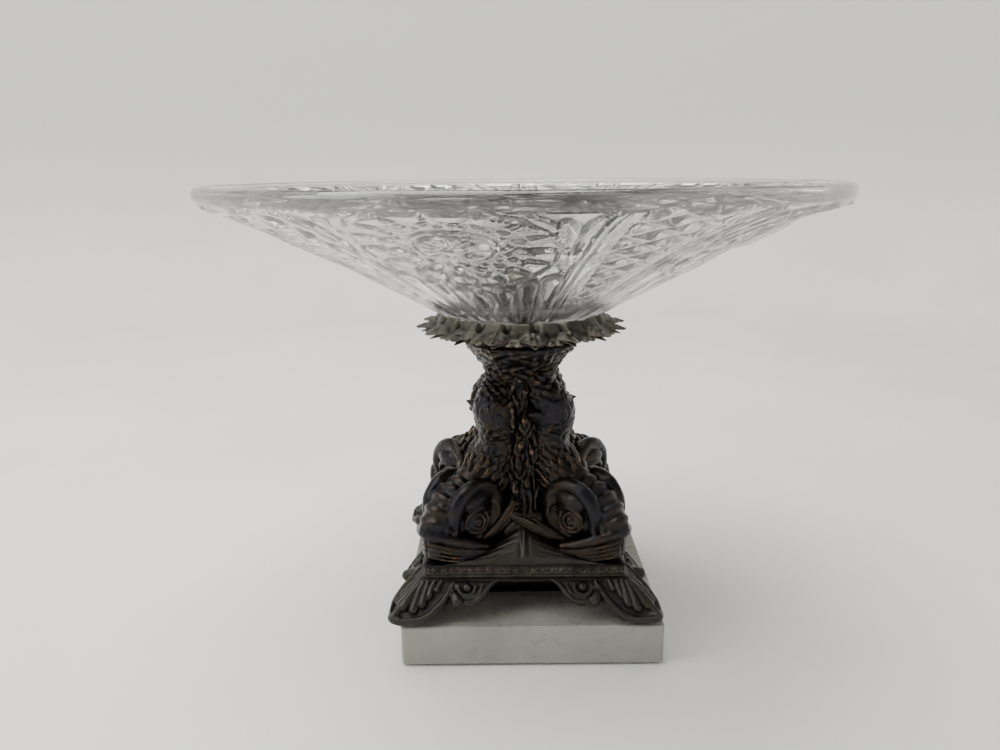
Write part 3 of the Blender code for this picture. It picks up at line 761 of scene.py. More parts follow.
def make_reeds():
    """A quarter of the growth in the valleys; it faces -y."""
    reeds = Sculpt((-19, -36, 22.5), (19, -0.5, 96), 0.42)
    reeds.add(slab((-9, -32, 22.5), (9, -12, 40), 3), 1.5)
    reeds.add(sweep([(0, -6, 22), (0, -6, 96)], 10, 8, side=(1, 0, 0), cap=1), 0.5)
    reeds.add(tube([(0, -24, 36), (0, -19, 46), (0, -14.5, 58), (0, -12.5, 72), (0, -11.5, 84), (0, -9, 95)],
                   (5.5, 5.2, 4.4, 4.2, 4.2, 3.6)), 1.0)
    for stem in STEMS:
        reeds.add(tube(stem, 0.75), 0.3)
    for bud in BUDS:
        add_bud(reeds, *bud)
    rng = np.random.default_rng(7)
    for k in range(BLADES):  # blades and curls that fill the gaps
        z = 44 + 51 * k / BLADES
        x = rng.uniform(-6, 6)
        y = -np.interp(z, (44, 56, 70, 84, 93), (24.5, 19.5, 16.4, 15.4, 12.8)) - rng.uniform(0.0, 1.4)
        lean, length = rng.uniform(-0.7, 0.7), rng.uniform(3.0, 5.5)
        blade = [(x, y + 1, z - length), (x + lean * 2, y - 0.6, z),
                 (x + lean * length, y - rng.uniform(-0.6, 1.2), z + length)]
        reeds.add(sweep(spline(blade, 3), (0.5, 1.15, 0.3), (0.4, 0.55, 0.25), side=(1, 0, 0)), 0.25)
    reeds.roughen((0.1, 1.3, 4))
    reeds.keep(lambda q: np.maximum(22.8 - q[..., 2], q[..., 1] + 1.0))
    return reeds.mesh("reeds", 0.4)


# ---------------------------------------------------------------- the capital and the collar of leaves

def around(steps):
    return np.linspace(0, 2 * pi, steps, endpoint=False)


def circle(radius, height, steps):
    """A closed row of points round the axis; radius and height may differ from point to point."""
    turn = around(steps)
    return np.stack([radius * np.cos(turn), radius * np.sin(turn), height + 0 * turn], 1)


def turned(rings, steps):
    """Circles from a function that gives (radius, height) pairs for the turns round the axis."""
    return [circle(radius, height, steps) for radius, height in rings(around(steps))]


def wrap(turn, count, phase=0.0):
    """Where a turn lies in its petal, from -1 at one edge to 1 at the other."""
    share = (turn - phase) * count / (2 * pi)
    return 2 * (share - np.round(share))


def make_capital():
    """The neck: two rows of eight veined leaves over a ground of slanting tufts."""
    bore, bottom, top = 4.6, 92.4, 110.8
    profile = spline([(16.0, bottom), (16.9, 92.8), (17.2, 93.5), (16.4, 94.3), (16.3, 95.6),
                      (16.9, 97.6), (18.1, 100.0), (19.9, 102.6), (22.0, 105.2), (24.2, 107.8),
                      (25.6, 109.6), (25.9, 110.4), (25.2, top)], 7)

    def rings(turn):
        yield bore, bottom
        for radius, height in profile:
            rise = (height - 94.0) / 16.5
            big, small = wrap(turn, 8, 0.2), wrap(turn, 8, 0.2 + pi / 8)
            leaf = np.clip(1 - (np.abs(big) / (0.42 + 0.6 * rise * (1.35 - rise))) ** 2.2, 0, 1)
            second = np.clip(1 - (small / (0.35 + 0.3 * rise)) ** 2, 0, 1) * smoothstep(1.0, 0.7, rise)
            vein = bell(big, 0.07) * 0.55 + bell(small, 0.06) * 0.35
            side = 0.32 * np.cos(rise * 26 - np.abs(big) * 7) * leaf
            lobes = 0.28 * np.cos(rise * 17 + np.abs(small) * 6) * second
            relief = (0.95 * leaf**0.6 + 0.5 * second + vein + side + lobes) * smoothstep(-0.02, 0.12, rise)
            slant = np.abs(wrap(turn + 0.012 * (height - 94), 34))
            slant *= 0.6 + 0.4 * np.sin(5 * turn + 0.5 * height)
            tufts = np.abs(wrap(turn - 0.03 * (height - 94) + 0.2 * np.sin(0.9 * height), 13, 0.1))
            relief = relief + (0.55 * slant + 0.7 * (1 - tufts) ** 2) * smoothstep(0.0, 0.15, rise)
            yield radius - 1.7 + relief * smoothstep(1.06, 0.9, rise), height
        yield bore, top

    points, faces = skin_rings(turned(rings, 420))
    outer = np.hypot(points[:, 0], points[:, 1]) > 10
    grain = lattice_noise(points, 1.6, 6) * 0.22 + lattice_noise(points, 4.0, 7) * 0.4
    return make_mesh("capital_leaves", points + unit(points * (1, 1, 0)) * (grain * outer)[:, None], faces)


LEAVES, LEAF_PHASE = 16, radians(5.7 - 90)
FLUTES, FLUTE_PHASE = 20, radians(7.3 - 90)


def leaf_ring(name, outline, top, inner, thick, steps, rows):
    """A closed ring of cast leaves.

    outline gives the reach at a place across a leaf, and top the height there and at a radius.
    """
    share = np.linspace(0, 1, rows)

    def rings(turn):
        place = wrap(turn, LEAVES, LEAF_PHASE)
        reach = outline(place)
        for s in share:
            radius = inner + (reach - inner) * s
            yield radius, top(radius, place, turn)
        for s in share[::-1]:
            radius = inner + (reach - inner) * (s if s < 1 else 0.992)
            yield radius, top(radius, place, turn) - thick * (0.35 + 0.65 * smoothstep(1.0, 0.85, s))

    return make_mesh(name, *skin_rings([row[::-1] for row in turned(rings, LEAVES * steps)]))


def make_upper_leaves():
    """Long pointed leaves that droop from the fluted seat of the glass."""
    fall = array((25, 121.6), (33.2, 121.9), (34.4, 123.4), (35.2, 123.5), (36.2, 122.5), (37.4, 121.0),
                 (39.0, 119.5), (41.0, 118.4), (43.5, 117.4), (46.5, 116.3)).T

    def outline(place):
        leaf = peak(place, 0.72)
        return 40.9 + 5.5 * leaf**0.8 + 0.35 * np.cos(9 * place) * leaf

    def top(radius, place, turn):
        t = np.abs(place)
        leaf = np.clip(1 - (t / 0.80) ** 2, 0, 1)
        fold = 1.1 * leaf - 0.8 * (1 - leaf)
        vein = 0.42 * bell(place, 0.06) - 0.25 * bell(t - 0.14, 0.07)
        side = 0.16 * np.cos(radius * 2.4 - t * 9) * smoothstep(0.1, 0.3, t) * leaf
        dot = -1.5 * bell(place, 0.11) * bell(radius - 41.2, 0.62)
        out = smoothstep(37.2, 39.2, radius)
        # The flutes round the foot of the glass, with a slot between each two.
        slot = np.abs(wrap(turn, FLUTES, FLUTE_PHASE))
        near = smoothstep(34.6, 35.2, radius) * smoothstep(38.2, 37.2, radius)
        flute = 0.6 * dome(1 - slot) - 3.0 * bell(slot, 0.22)
        return np.interp(radius, *fall) + out * (fold + vein + side + dot) + near * flute

    return leaf_ring("upper_leaves", outline, top, 25.0, 1.5, 40, 46)


def make_lower_leaves():
    """Shorter leaves, with a ribbed dome between each two."""
    between = 0.78

    def outline(place):
        t = np.abs(place)
        return 37.6 + np.maximum(7.0 * peak(t, 0.34) ** 0.8, 5.6 * dome(t - between, 0.34))

    def top(radius, place, turn):
        t = np.abs(place)
        swell = dome(t - between, 0.36) * dome(radius - 40.2, 4.4)
        ribs = 0.14 * np.cos(20 * (t - between)) * swell**2
        leaf = np.clip(1 - (t / 0.4) ** 2, 0, 1) * smoothstep(34, 39, radius)
        slope = np.interp(radius, (24, 30, 36, 40, 45), (113.6, 115.4, 116.9, 116.5, 114.4))
        return slope + 1.5 * swell + ribs + 0.6 * leaf + 0.35 * bell(place, 0.05) * leaf

    return leaf_ring("lower_leaves", outline, top, 24.0, 1.3, 36, 30)


# ---------------------------------------------------------------- the glass
# Profiles are (radius, height). The pattern is laid out in degrees round the bowl, millimetres up its wall.

OUTSIDE = array((34, 123.8), (61.5, 139), (76, 147.2), (87, 153.2), (97, 158), (108, 163.6), (121, 169),
                (130.5, 172.2))
RIM = array((130.5, 172.2), (132.0, 173.3), (132.5, 174.8), (132.5, 176.2), (131.9, 177.6), (130.6, 178.5),
            (129.2, 178.6), (127.9, 178.1), (126.6, 177.2))
INSIDE = array((126.6, 177.2), (121, 175.2), (108, 169.8), (97, 164.3), (87, 159.5), (76, 153.5),
               (61.5, 145.2), (52, 139.6), (44, 135.2), (37, 132.4), (31, 131.3), (24, 131.0), (14, 131.0),
               (5.2, 131.0))
PANEL = 360 / 5          # degrees from one medallion to the next
MEDALLION_AT = -13.5     # degrees round from the front
BORDER_AT = 24.0         # degrees to each side of a medallion
MEDALLION_HIGH = 77.5
MEDALLION_RADIUS = 33.9
STAR_POINTS = 16
DIAMOND_ROWS = array((0, -6.2), (6, -5), (12.3, -4), (19.3, -3), (27, -2), (35.5, -1), (44.7, 0), (55.2, 1),
                     (66, 2), (78, 3), (91, 4), (105.5, 5), (121, 6)).T
PALMETTE = ((0.0, 36.3), (6.9, 40.5), (13.8, 46.5), (20.3, 52.0))  # each flute's place round, and its end
SPRAYS = (((21.4, 57), (19.6, 83), 2.7), ((20.0, 76), (17.6, 103), 3.3), ((21.9, 82), (22.2, 105), 2.3),
          ((17.0, 93), (12.6, 107.5), 2.3), ((22.3, 62), (22.6, 84), 1.5))  # root, tip, half width
RELIEF = 0.76


def diamonds(across, along, radius):
    """Rows of pyramids; across is in degrees from the middle of their field."""
    u, v = across / 4.72 - 0.5, np.interp(along, *DIAMOND_ROWS)
    p, q = u / 2 + v, u / 2 - v
    point = 1 - 2 * np.maximum(np.abs(p - np.round(p)), np.abs(q - np.round(q)))
    field = smoothstep(10.6, 9.9, np.abs(across))
    return field * (2.1 * point * radius / 100 + 0.25 * np.clip(point - 0.72, 0, 1))


def border(x, along):
    """Two ribs and a line of beads, x from its middle."""
    from_bead = (along / 3.0 - np.round(along / 3.0)) * 3.0
    beads = np.sqrt(np.clip(1 - ((x + 2.9) / 1.0) ** 2 - (from_bead / 1.25) ** 2, 0, 1))
    return 1.25 * dome(x, 1.5) + 0.8 * dome(x - 3.0, 1.1) + 1.05 * beads


def medallion(x, y, rho):
    """A button in a star of crossed cuts and needle cuts, inside a raised band."""
    psi = np.arctan2(x, y)
    chords = np.full_like(rho, 99.0)
    for turn in np.arange(STAR_POINTS) * 2 * pi / STAR_POINTS:
        chords = np.minimum(chords, np.abs(x * sin(turn) + y * cos(turn) - 14.5))
    crossed = 1.45 * peak(chords, 1.9) * smoothstep(13.0, 14.5, rho) * smoothstep(25.5, 23.5, rho)
    from_ray = rho * np.abs(wrap(psi, STAR_POINTS)) * pi / STAR_POINTS
    grow = np.clip((rho - 18) / 14.2, 0, 1)
    width = 2.7 * np.sqrt(np.sin(pi * grow) + 1e-6)
    needles = 1.5 * peak(from_ray, np.maximum(width, 0.05)) * (grow > 0) * (grow < 1)
    spokes = 0.8 * peak(from_ray, 0.8) * smoothstep(11, 8, rho)
    button = 1.5 * dome(rho, 11.2) - spokes + 0.7 * np.clip(1 - (rho / 3.4) ** 2, 0, 1)
    plate = 1.15 * smoothstep(34.0, 33.4, rho)
    gap, band = peak(rho - 12.2, 1.1), 1.3 * dome(rho - MEDALLION_RADIUS, 1.2)
    return plate - crossed - needles - gap + np.maximum(button, 0) + band


def spray_leaf(x, y, dx, dy, half):
    """A grooved leaf about (0, 0) whose length and direction are (dx, dy)."""
    length = np.hypot(dx, dy)
    t = 2 * (x * dx + y * dy) / length**2
    side = (x * dy - y * dx) / length
    wide = half * np.clip(1 - t * t, 0, 1) ** 0.6
    body = dome(side, np.maximum(wide, 0.05)) * (np.abs(t) < 1)
    return 1.5 * body - 0.7 * peak(side, 0.7) * (np.abs(t) < 0.85)


def bowl_relief(azimuth, along, radius):
    """How far the pressed pattern stands out of the wall; azimuth in degrees from the front."""
    arc = radius * pi / 180
    a = (azimuth - MEDALLION_AT + PANEL / 2) % PANEL - PANEL / 2
    beside = np.abs(a)
    total = diamonds((azimuth - MEDALLION_AT) % PANEL - PANEL / 2, along, radius)
    x = (beside - BORDER_AT) * arc
    edged = np.maximum(total * smoothstep(-4.5, -3.9, -x - 0.2), border(x, along))
    total = np.where(np.abs(x) < 9, edged, total)
    mx, my = np.radians(a) * (0.5 * radius + 50), along - MEDALLION_HIGH
    rho = np.hypot(mx, my)
    total += medallion(mx, my, rho)
    clear = rho > MEDALLION_RADIUS + 0.5
    for (a0, s0), (a1, s1), half in SPRAYS:
        x, y = (beside - (a0 + a1) / 2) * arc, along - (s0 + s1) / 2
        total = np.maximum(total, spray_leaf(x, y, (a1 - a0) * arc, s1 - s0, half) * clear)
    for at, end in PALMETTE:
        wide = 3.15 * arc * dome(np.clip((along - (end - 5.0)) / 5.0, 0, 1))
        flute = 1.5 * dome((beside - at) * arc, np.maximum(wide, 0.05)) * (along < end) * (along > 1.0)
        total = np.maximum(total, flute * smoothstep(0.5, 6, along) * clear)
    return RELIEF * total * smoothstep(110.0, 108.4, along) * smoothstep(0.4, 2.5, along)


def along_profile(keys, step):
    """Points about step apart along a smooth profile, with their distance along it."""
    keys = spline(keys, 8)
    lengths = path_lengths(keys)
    s = np.linspace(0, lengths[-1], max(2, int(round(lengths[-1] / step)) + 1))
    return np.stack([np.interp(s, lengths, keys[:, 0]), np.interp(s, lengths, keys[:, 1])], 1), s


def make_bowl():
    """The bowl, with twice as many points round it where the pattern is wide."""
    few = 2 * (int(480 / COARSE) // 2)
    many, bore, underside = 2 * few, 5.2, 123.0
    rows = [circle(radius, underside, few) for radius in (bore, 16.0, 27.0, 33.2)]
    wall, s = along_profile(OUTSIDE, 0.97 * COARSE)
    tangent = unit(np.gradient(wall, axis=0))
    for (radius, height), along, (rise, back) in zip(wall, s, tangent[:, ::-1]):
        steps = few if along < 34 else many
        push = bowl_relief(np.degrees(around(steps)) + 90, along, radius)
        rows.append(circle(radius + rise * push, height - back * push, steps))
    rows += [circle(radius, height, many) for radius, height in along_profile(RIM, 0.9)[0][1:]]
    rows += [circle(radius, height, few) for radius, height in along_profile(INSIDE, 2.6)[0][1:]]
    starts = np.cumsum([0] + [len(row) for row in rows])
    spans = [range(start, end) for start, end in zip(starts, starts[1:])]
    faces = []
    for low, high in zip(spans, spans[1:] + spans[:1]):
        fewer = min(len(low), len(high))
        for i in range(fewer):
            k = (i + 1) % fewer
            if len(low) == len(high):
                faces.append((low[i], low[k], high[k], high[i]))
            elif len(high) > fewer:
                faces.append((low[i], low[k], high[2 * k], high[2 * i + 1], high[2 * i]))
            else:
                faces.append((low[2 * i], low[2 * i + 1], low[2 * k], high[k], high[i]))
    return make_mesh("bowl_glass", np.vstack(rows), faces)


# ---------------------------------------------------------------- the fixings

def make_cap_nut():
    """A thumb nut with crossed knurling and a domed top."""
    (_, _, base), (_, _, top) = node_box("cap_nut")
    tall, barrel, knurls = top - base, 9.05, 48
    profile = [(4.3, tall - 2.5), (4.3, 0.0), (7.6, 0.0), (8.6, 0.25), (9.0, 0.8)]
    profile += [(barrel, z) for z in np.linspace(1.0, 6.6, 26)]
    profile += [(9.0, 6.8), (8.5, 7.35), (7.6, 7.6), (7.2, 8.2), (6.9, 9.2), (5.9, 10.4), (4.2, 11.1),
                (2.0, tall - 0.05)]

    def rings(turn):
        for radius, z in profile:
            cross = [np.abs(np.sin((turn * knurls / (2 * pi) + way * z * 1.9) / 2)) for way in (1, -1)]
            knurl = 0.42 * np.minimum(*cross) ** 0.8 - 0.1
            yield radius + knurl * (radius == barrel), base + z

    return make_mesh("thumb_nut", *skin_rings(turned(rings, 288), closed=False), sharp=50)


def make_tie_rod():
    """The rod with its rolled thread."""
    (_, _, bottom), (_, _, top) = node_box("tie_rod")
    pitch, end = 1.25, 3.1

    def rings(turn):
        yield end, bottom
        for z in np.arange(bottom + 0.9, top - 0.9, pitch / 6):
            wave = ((z - bottom) / pitch - turn / (2 * pi)) % 1.0
            yield 3.94 - 0.62 * np.abs(2 * wave - 1) ** 1.3, z
        yield end, top

    return make_mesh("threaded_rod", *skin_rings(turned(rings, 40), closed=False), sharp=60)


# ---------------------------------------------------------------- wear and finishes

def mark_wear(mesh):
    """Writes how far each point stands out from, or lies below, the surface round it; the finishes read this
    for wear and patina, and for painted highlights and shade.
    """
    count = len(mesh.vertices)
    points, normals = np.empty(count * 3), np.empty(count * 3)
    mesh.vertices.foreach_get("co", points)
    mesh.vertex_normals.foreach_get("vector", normals)
    points, normals = points.reshape(-1, 3) / MM, normals.reshape(-1, 3)
    edges = np.empty(len(mesh.edges) * 2, np.int64)
    mesh.edges.foreach_get("vertices", edges)
    a, b = edges.reshape(-1, 2).T
    share = np.maximum(np.bincount(a, minlength=count) + np.bincount(b, minlength=count), 1)[:, None]
    soft = points.copy()
    # Each layer is 0.5 on a flat surface, and 0 or 1 at half its span below or above it, in millimetres.
    for rounds, name, span in ((6, "edge", 0.9), (36, "relief", 3.2)):
        for _ in range(rounds):
            total = np.stack([np.bincount(a, soft[b, i], count) + np.bincount(b, soft[a, i], count)
                              for i in range(3)], 1)
            soft = 0.35 * soft + 0.65 * total / share
        value = 0.5 + ((points - soft) * normals).sum(1) / span
        layer = mesh.attributes.new(name, "FLOAT", "POINT")
        layer.data.foreach_set("value", np.clip(value, 0, 1).astype(np.float32))


class Finish:
    """A node material round one Principled shader."""

    def __init__(self, name, **sockets):
        self.material = bpy.data.materials.new(name)
        self.material.use_nodes = True
        self.tree = self.material.node_tree
        self.shader = self.tree.nodes["Principled BSDF"]
        for socket, value in sockets.items():
            self.shader.inputs[socket.replace("_", " ")].default_value = value
        self.place = self.tree.nodes.new("ShaderNodeTexCoord").outputs["Object"]

    def node(self, kind, inputs, **settings):
        node = self.tree.nodes.new("ShaderNode" + kind)
        for key, value in settings.items():
            setattr(node, key, value)
        for key, value in inputs.items():
            if isinstance(value, bpy.types.NodeSocket):
                self.tree.links.new(value, node.inputs[key])
            else:
                node.inputs[key].default_value = value
        return node

    def noise(self, millimetres, detail=3.0, rough=0.55, twist=0.0):
        made = self.node("TexNoise", {"Vector": self.place, "Scale": 1 / (millimetres * MM), "Detail": detail,
                                      "Roughness": rough, "Distortion": twist})
        return made.outputs["Fac"]

    def ramp(self, value, low, high, first=0.0, last=1.0):
        """A smooth step from first to last as value goes from low to high."""
        inputs = {"Value": value, "From Min": low, "From Max": high, "To Min": first, "To Max": last}
        return self.node("MapRange", inputs, interpolation_type="SMOOTHSTEP").outputs["Result"]

    def maths(self, operation, a, b=0.5):
        return self.node("Math", {0: a, 1: b}, operation=operation).outputs["Value"]

    def clamp(self, value):
        return self.node("Clamp", {"Value": value}).outputs["Result"]

    def mix(self, factor, a, b):
        """A colour between a and b; 0, 6 and 7 are the node's sockets for a colour mix."""
        a, b = (c if isinstance(c, bpy.types.NodeSocket) else (*c, 1.0) for c in (a, b))
        return self.node("Mix", {0: factor, 6: a, 7: b}, data_type="RGBA").outputs[2]

    def attribute(self, name):
        return self.node("Attribute", {}, attribute_name=name).outputs["Fac"]

    def to(self, socket, value):
        self.tree.links.new(value, self.shader.inputs[socket])

    def done(self, colour, roughness, *bumps):
        """Links up the shader; bumps are layers of (height, distance in millimetres, strength)."""
        self.to("Base Color", colour)
        if roughness:
            self.to("Roughness", roughness)
        normal = None
        for height, distance, strength in bumps:
            inputs = {"Height": height, "Distance": distance * MM, "Strength": strength}
            if normal:
                inputs["Normal"] = normal
            normal = self.node("Bump", inputs).outputs["Normal"]
        self.to("Normal", normal)
        return self.material


def patina(name, dark, body, worn_and_glint, tone_and_sheen, tone_and_sheen_share, wear_and_glint_share, rough, metallic, coat):
    """Aged cast metal: dark in its hollows, rubbed on its high points where painted highlights join the wear,
    with patches of another tone that on the dark bronze are a painted blue sheen.
    """
    finish = Finish(name, Metallic=metallic, Coat_Weight=coat, Coat_Roughness=0.3)
    edge, relief = finish.attribute("edge"), finish.attribute("relief")
    cloud = finish.noise(16, 4, 0.6)
    grain = finish.noise(2.2, 4, 0.7)
    fine = finish.noise(0.6, 2, 0.6)
    # These patches are another tone of the metal, and on the dark bronze a painted blue sheen.
    tone_and_sheen_patch = finish.ramp(finish.noise(18, 3, 0.55, 0.6), 0.44, 0.58)
    colour = finish.mix(finish.ramp(cloud, 0.3, 0.72), tuple(c * 0.6 for c in body), body)
    colour = finish.mix(finish.maths("MULTIPLY", tone_and_sheen_patch, tone_and_sheen_share), colour, tone_and_sheen)
    hollow = finish.maths("ADD", finish.ramp(relief, 0.5, 0.3), finish.ramp(edge, 0.48, 0.25, 0.0, 0.8))
    colour = finish.mix(finish.clamp(hollow), colour, dark)
    # The rubbed high points are wear and, in part, painted highlights.
    wear_and_glint = finish.maths("ADD", finish.ramp(edge, 0.54, 1.0), finish.ramp(relief, 0.56, 0.95, 0.0, 0.6))
    clouded = finish.ramp(finish.noise(6, 4, 0.65), 0.38, 0.62, 0.12, 1.0)
    for share in (clouded, finish.ramp(grain, 0.3, 0.62, 0.4, 1.0), wear_and_glint_share):
        wear_and_glint = finish.maths("MULTIPLY", wear_and_glint, share)
    wear_and_glint = finish.clamp(wear_and_glint)
    colour = finish.mix(wear_and_glint, colour, worn_and_glint)
    colour = finish.mix(finish.ramp(fine, 0.62, 0.75, 0.0, 0.35), colour, dark)
    roughness = finish.maths("ADD", grain, finish.maths("MULTIPLY", wear_and_glint, -0.3))
    roughness = finish.ramp(roughness, 0.2, 0.75, *rough)
    return finish.done(colour, roughness, (grain, 0.08, 0.4), (fine, 0.03, 0.4))


def glass_finish():
    """Clear pressed glass with painted shade that greys it where the cuts are deep, as the light is lost
    there, and faint smudges.
    """
    finish = Finish("pressed_glass", Transmission_Weight=1.0, IOR=1.5, Alpha=0.94)
    # Painted shade: the deep cuts get a darker grey base colour.
    sunk_shade = finish.ramp(finish.attribute("edge"), 0.5, 0.32, 0.0, 0.85)
    cut = finish.maths("ADD", sunk_shade, finish.ramp(finish.attribute("relief"), 0.5, 0.2, 0.0, 0.4))
    colour = finish.mix(finish.clamp(cut), (0.88, 0.885, 0.87), (0.30, 0.31, 0.29))
    smudge = finish.ramp(finish.noise(22, 4, 0.6, 0.8), 0.52, 0.72, 0.0, 0.035)
    return finish.done(colour, smudge, (finish.noise(5.0, 2, 0.5), 0.05, 0.1))


def marble_finish():
    finish = Finish("white_marble", IOR=1.49)
    cloud = finish.noise(45, 5, 0.55, 0.6)
    grey = finish.noise(13, 6, 0.6, 1.4)
    vein = finish.maths("ABSOLUTE", finish.maths("SUBTRACT", finish.noise(34, 5, 0.62, 1.2), 0.5))
    colour = finish.mix(finish.ramp(cloud, 0.35, 0.7), (0.25, 0.24, 0.21), (0.31, 0.298, 0.262))
    colour = finish.mix(finish.ramp(grey, 0.5, 0.78, 0.0, 0.35), colour, (0.21, 0.203, 0.182))
    colour = finish.mix(finish.ramp(vein, 0.018, 0.0, 0.0, 0.1), colour, (0.18, 0.173, 0.158))
    speck = finish.ramp(finish.noise(1.1, 1, 0.5), 0.74, 0.8, 0.0, 0.5)
    speck = finish.maths("MULTIPLY", speck, finish.ramp(cloud, 0.45, 0.6))
    colour = finish.mix(speck, colour, (0.12, 0.11, 0.095))
    return finish.done(colour, finish.ramp(grey, 0.3, 0.75, 0.25, 0.45), (finish.noise(9, 3), 0.12, 0.25))


def baize_finish():
    finish = Finish("green_baize", Roughness=0.95, Sheen_Weight=0.35, Sheen_Roughness=0.5)
    nap = finish.noise(0.7, 4, 0.7)
    colour = finish.mix(finish.ramp(nap, 0.35, 0.68), (0.018, 0.042, 0.022), (0.045, 0.095, 0.05))
    colour = finish.mix(finish.ramp(finish.noise(14), 0.5, 0.75, 0.0, 0.4), colour, (0.06, 0.08, 0.05))
    return finish.done(colour, None, (nap, 0.3, 0.8))


def steel_finish():
    """Zinc-plated steel, going rusty."""
    finish = Finish("zinc_steel", Metallic=1.0)
    cloud = finish.noise(6, 4, 0.6)
    colour = finish.mix(finish.ramp(cloud, 0.35, 0.7), (0.34, 0.34, 0.34), (0.52, 0.52, 0.53))
    colour = finish.mix(finish.ramp(finish.noise(3, 3), 0.58, 0.72, 0.0, 0.6), colour, (0.20, 0.15, 0.11))
    return finish.done(colour, finish.ramp(cloud, 0.3, 0.7, 0.28, 0.5), (finish.noise(0.8, 3), 0.05, 0.4))


def rubber_finish():
    finish = Finish("packing_rubber")
    dust = finish.noise(3, 4, 0.6)
    colour = finish.mix(finish.ramp(dust, 0.4, 0.7), (0.030, 0.029, 0.028), (0.085, 0.08, 0.075))
    return finish.done(colour, finish.ramp(dust, 0.3, 0.7, 0.6, 0.85), (finish.noise(0.5, 3), 0.05, 0.5))


def backdrop_finish():
    """Pale paper, with painted shade that makes it greyer higher up."""
    finish = Finish("pale_backdrop", Roughness=0.8)
    colour = finish.mix(finish.ramp(finish.noise(160, 3), 0.3, 0.7), (0.80, 0.79, 0.765), (0.86, 0.85, 0.825))
    height = finish.node("SeparateXYZ", {"Vector": finish.place}).outputs["Z"]
    # Painted shade: the paper turns greyer with height.
    colour = finish.mix(finish.ramp(height, 0.0, 0.30), colour, (0.63, 0.63, 0.625))
    return finish.done(colour, None, (finish.noise(1.2, 3, 0.6), 0.12, 0.25))


# In each patina below, the worn colour on the high points is wear and painted highlight together.
FINISHES = {
    # The dark bronze's blue-black tone patches are a painted blue sheen.
    "dark_bronze": patina(
        "dark_bronze", dark=(0.0022, 0.0018, 0.0016), body=(0.024, 0.016, 0.0098), worn_and_glint=(0.27, 0.16, 0.08),
        tone_and_sheen=(0.005, 0.007, 0.014), tone_and_sheen_share=0.72, wear_and_glint_share=1.1, rough=(0.24, 0.46), metallic=0.8,
        coat=0.12),
    "brown_bronze": patina(
        "brown_bronze", dark=(0.005, 0.004, 0.0032), body=(0.030, 0.0255, 0.0195), worn_and_glint=(0.115, 0.096, 0.070),
        tone_and_sheen=(0.026, 0.025, 0.023), tone_and_sheen_share=0.6, wear_and_glint_share=0.55, rough=(0.36, 0.55), metallic=0.75,
        coat=0.15),
    "antique_brass": patina(
        "antique_brass", dark=(0.007, 0.0058, 0.0044), body=(0.076, 0.066, 0.05), worn_and_glint=(0.235, 0.2, 0.145),
        tone_and_sheen=(0.055, 0.053, 0.049), tone_and_sheen_share=0.5, wear_and_glint_share=0.6, rough=(0.34, 0.54), metallic=0.75,
        coat=0.15),
    "glass": glass_finish(),
    "marble": marble_finish(),
    "baize": baize_finish(),
    "steel": steel_finish(),
    "rubber": rubber_finish(),
}


# ---------------------------------------------------------------- the object

CORNERS = ("back_right", "back_left", "front_left", "front_right")
SIDES = ("front", "right", "back", "left")
KEPT_NODES = {"marble_plinth": "marble", "baize_sheet": "baize", "bottom_washer": "steel",
              "bottom_nut": "steel", "seat_cup": "antique_brass", "lower_gasket": "rubber",
              "upper_gasket": "rubber", "clamp_washer": "antique_brass"}


def piece(name, mesh, slot, body, node, turn=0.0):
    """A visible piece that rides on a body and stands in for a CAD node."""
    obj = new_object(name, mesh)
    if not mesh.materials:
        mesh.materials.append(FINISHES[slot])
    obj.rotation_euler.z = turn
    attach(obj, body)
    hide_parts(node)


def four(name, mesh, slot, places, node, first=0):
    """Four pieces of the pedestal that share a mesh, a quarter turn apart."""
    mark_wear(mesh)
    for k, place in enumerate(places):
        piece(f"{name}_{place}", mesh, slot, "pedestal", node.format(place), radians(first + 90 * k))


def one(name, mesh, slot, body, node):
    mark_wear(mesh)
    piece(name, mesh, slot, body, node)


def build():
    four("cast_fish", make_fish(), "dark_bronze", CORNERS, "fish_{}", first=45)
    four("foot", make_foot(), "brown_bronze", CORNERS, "footed_stand")
    one("platform", make_platform(), "brown_bronze", "pedestal", "footed_stand")
    # The inner skirt is a dark wall added as painted shade in the hollow under the stand.
    one("inner_shade_skirt", make_skirt(), "dark_bronze", "pedestal", "footed_stand")
    four("leaf", make_open_leaf(), "brown_bronze", SIDES, "reed_core")
    four("reeds", make_reeds(), "dark_bronze", SIDES, "reed_core")
    one("capital_leaves", make_capital(), "dark_bronze", "pedestal", "capital")
    one("lower_leaves", make_lower_leaves(), "antique_brass", "pedestal", "lower_petal_ring")
    one("upper_leaves", make_upper_leaves(), "antique_brass", "pedestal", "upper_petal_ring")
    one("pressed_bowl", make_bowl(), "glass", "bowl", "glass_bowl")
    one("thumb_nut", make_cap_nut(), "antique_brass", "nut", "cap_nut")
    piece("threaded_rod", make_tie_rod(), "steel", "pedestal", "tie_rod")
    for node, slot in KEPT_NODES.items():
        for material_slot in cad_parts[node].material_slots:
            material_slot.material = FINISHES[slot]


# ---------------------------------------------------------------- the studio, in metres

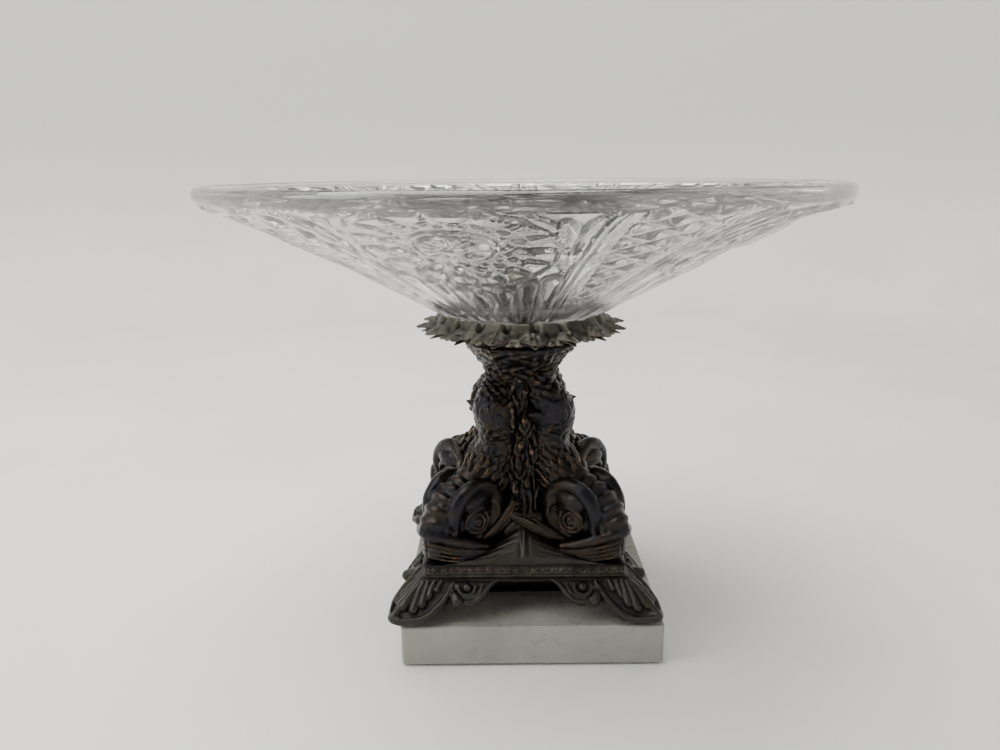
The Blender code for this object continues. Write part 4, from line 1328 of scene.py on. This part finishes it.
def make_room():
    """A round, seamless paper room."""
    steps = 96
    profile = spline([(0.0, 0.0), (0.5, 0.0), (0.78, 0.0), (0.9, 0.02), (1.0, 0.1), (1.06, 0.24),
                      (1.08, 0.42), (1.08, 0.66)], 8)
    rows = [circle(radius, max(height, 0.0), steps) for radius, height in profile[1:]]
    faces = [(0, 1 + i, 1 + (i + 1) % steps) for i in range(steps)]
    for j, i in itertools.product(range(len(rows) - 1), range(steps)):
        a, k = 1 + j * steps, (i + 1) % steps
        faces.append((a + i, a + steps + i, a + steps + k, a + k))
    mesh = bpy.data.meshes.new("paper_room")
    mesh.from_pydata(np.vstack([np.zeros((1, 3)), *rows]).tolist(), [], faces)
    mesh.shade_smooth()
    mesh.materials.append(backdrop_finish())
    room = new_object("paper_room", mesh)


def make_lights():
    middle = Vector((0.0, 0.0, 0.1))
    for name, place, size, power, colour in (
            ("overhead", (-0.25, 0.15, 1.25), (1.1, 1.0), 27.0, (1.0, 0.985, 0.95)),
            ("window", (-0.85, -0.35, 0.75), (0.5, 0.9), 8.0, (0.95, 0.97, 1.0)),
            ("fill", (0.75, -0.75, 0.6), (0.8, 0.8), 1.2, (1.0, 0.97, 0.93))):
        light = bpy.data.lights.new(name, "AREA")
        light.shape = "RECTANGLE"
        light.size, light.size_y = size
        light.energy, light.color = power, colour
        obj = new_object(name, light)
        obj.location = place
        obj.rotation_euler = (middle - Vector(place)).to_track_quat("-Z", "Y").to_euler()
    world = bpy.context.scene.world or bpy.data.worlds.new("studio")
    bpy.context.scene.world = world
    world.use_nodes = True
    background = world.node_tree.nodes["Background"]
    background.inputs["Color"].default_value = (0.86, 0.90, 0.96, 1.0)
    background.inputs["Strength"].default_value = 0.10


def make_camera():
    """Looks down by 14.37 degrees and leans by half a degree."""
    camera = bpy.data.cameras.new("view")
    camera.sensor_width, camera.lens = 36.0, 28.8
    camera.clip_start, camera.clip_end = 0.01, 20.0
    obj = new_object("view", camera)
    tilt = Matrix.Rotation(radians(90 - 14.37), 4, "X") @ Matrix.Rotation(radians(-0.5), 4, "Z")
    obj.matrix_world = Matrix.Translation((-0.0097, -0.3507, (MARBLE_TOP + 183.8) * MM)) @ tilt
    bpy.context.scene.camera = obj


build()
make_room()
make_lights()
make_camera()
bpy.context.view_layer.update()
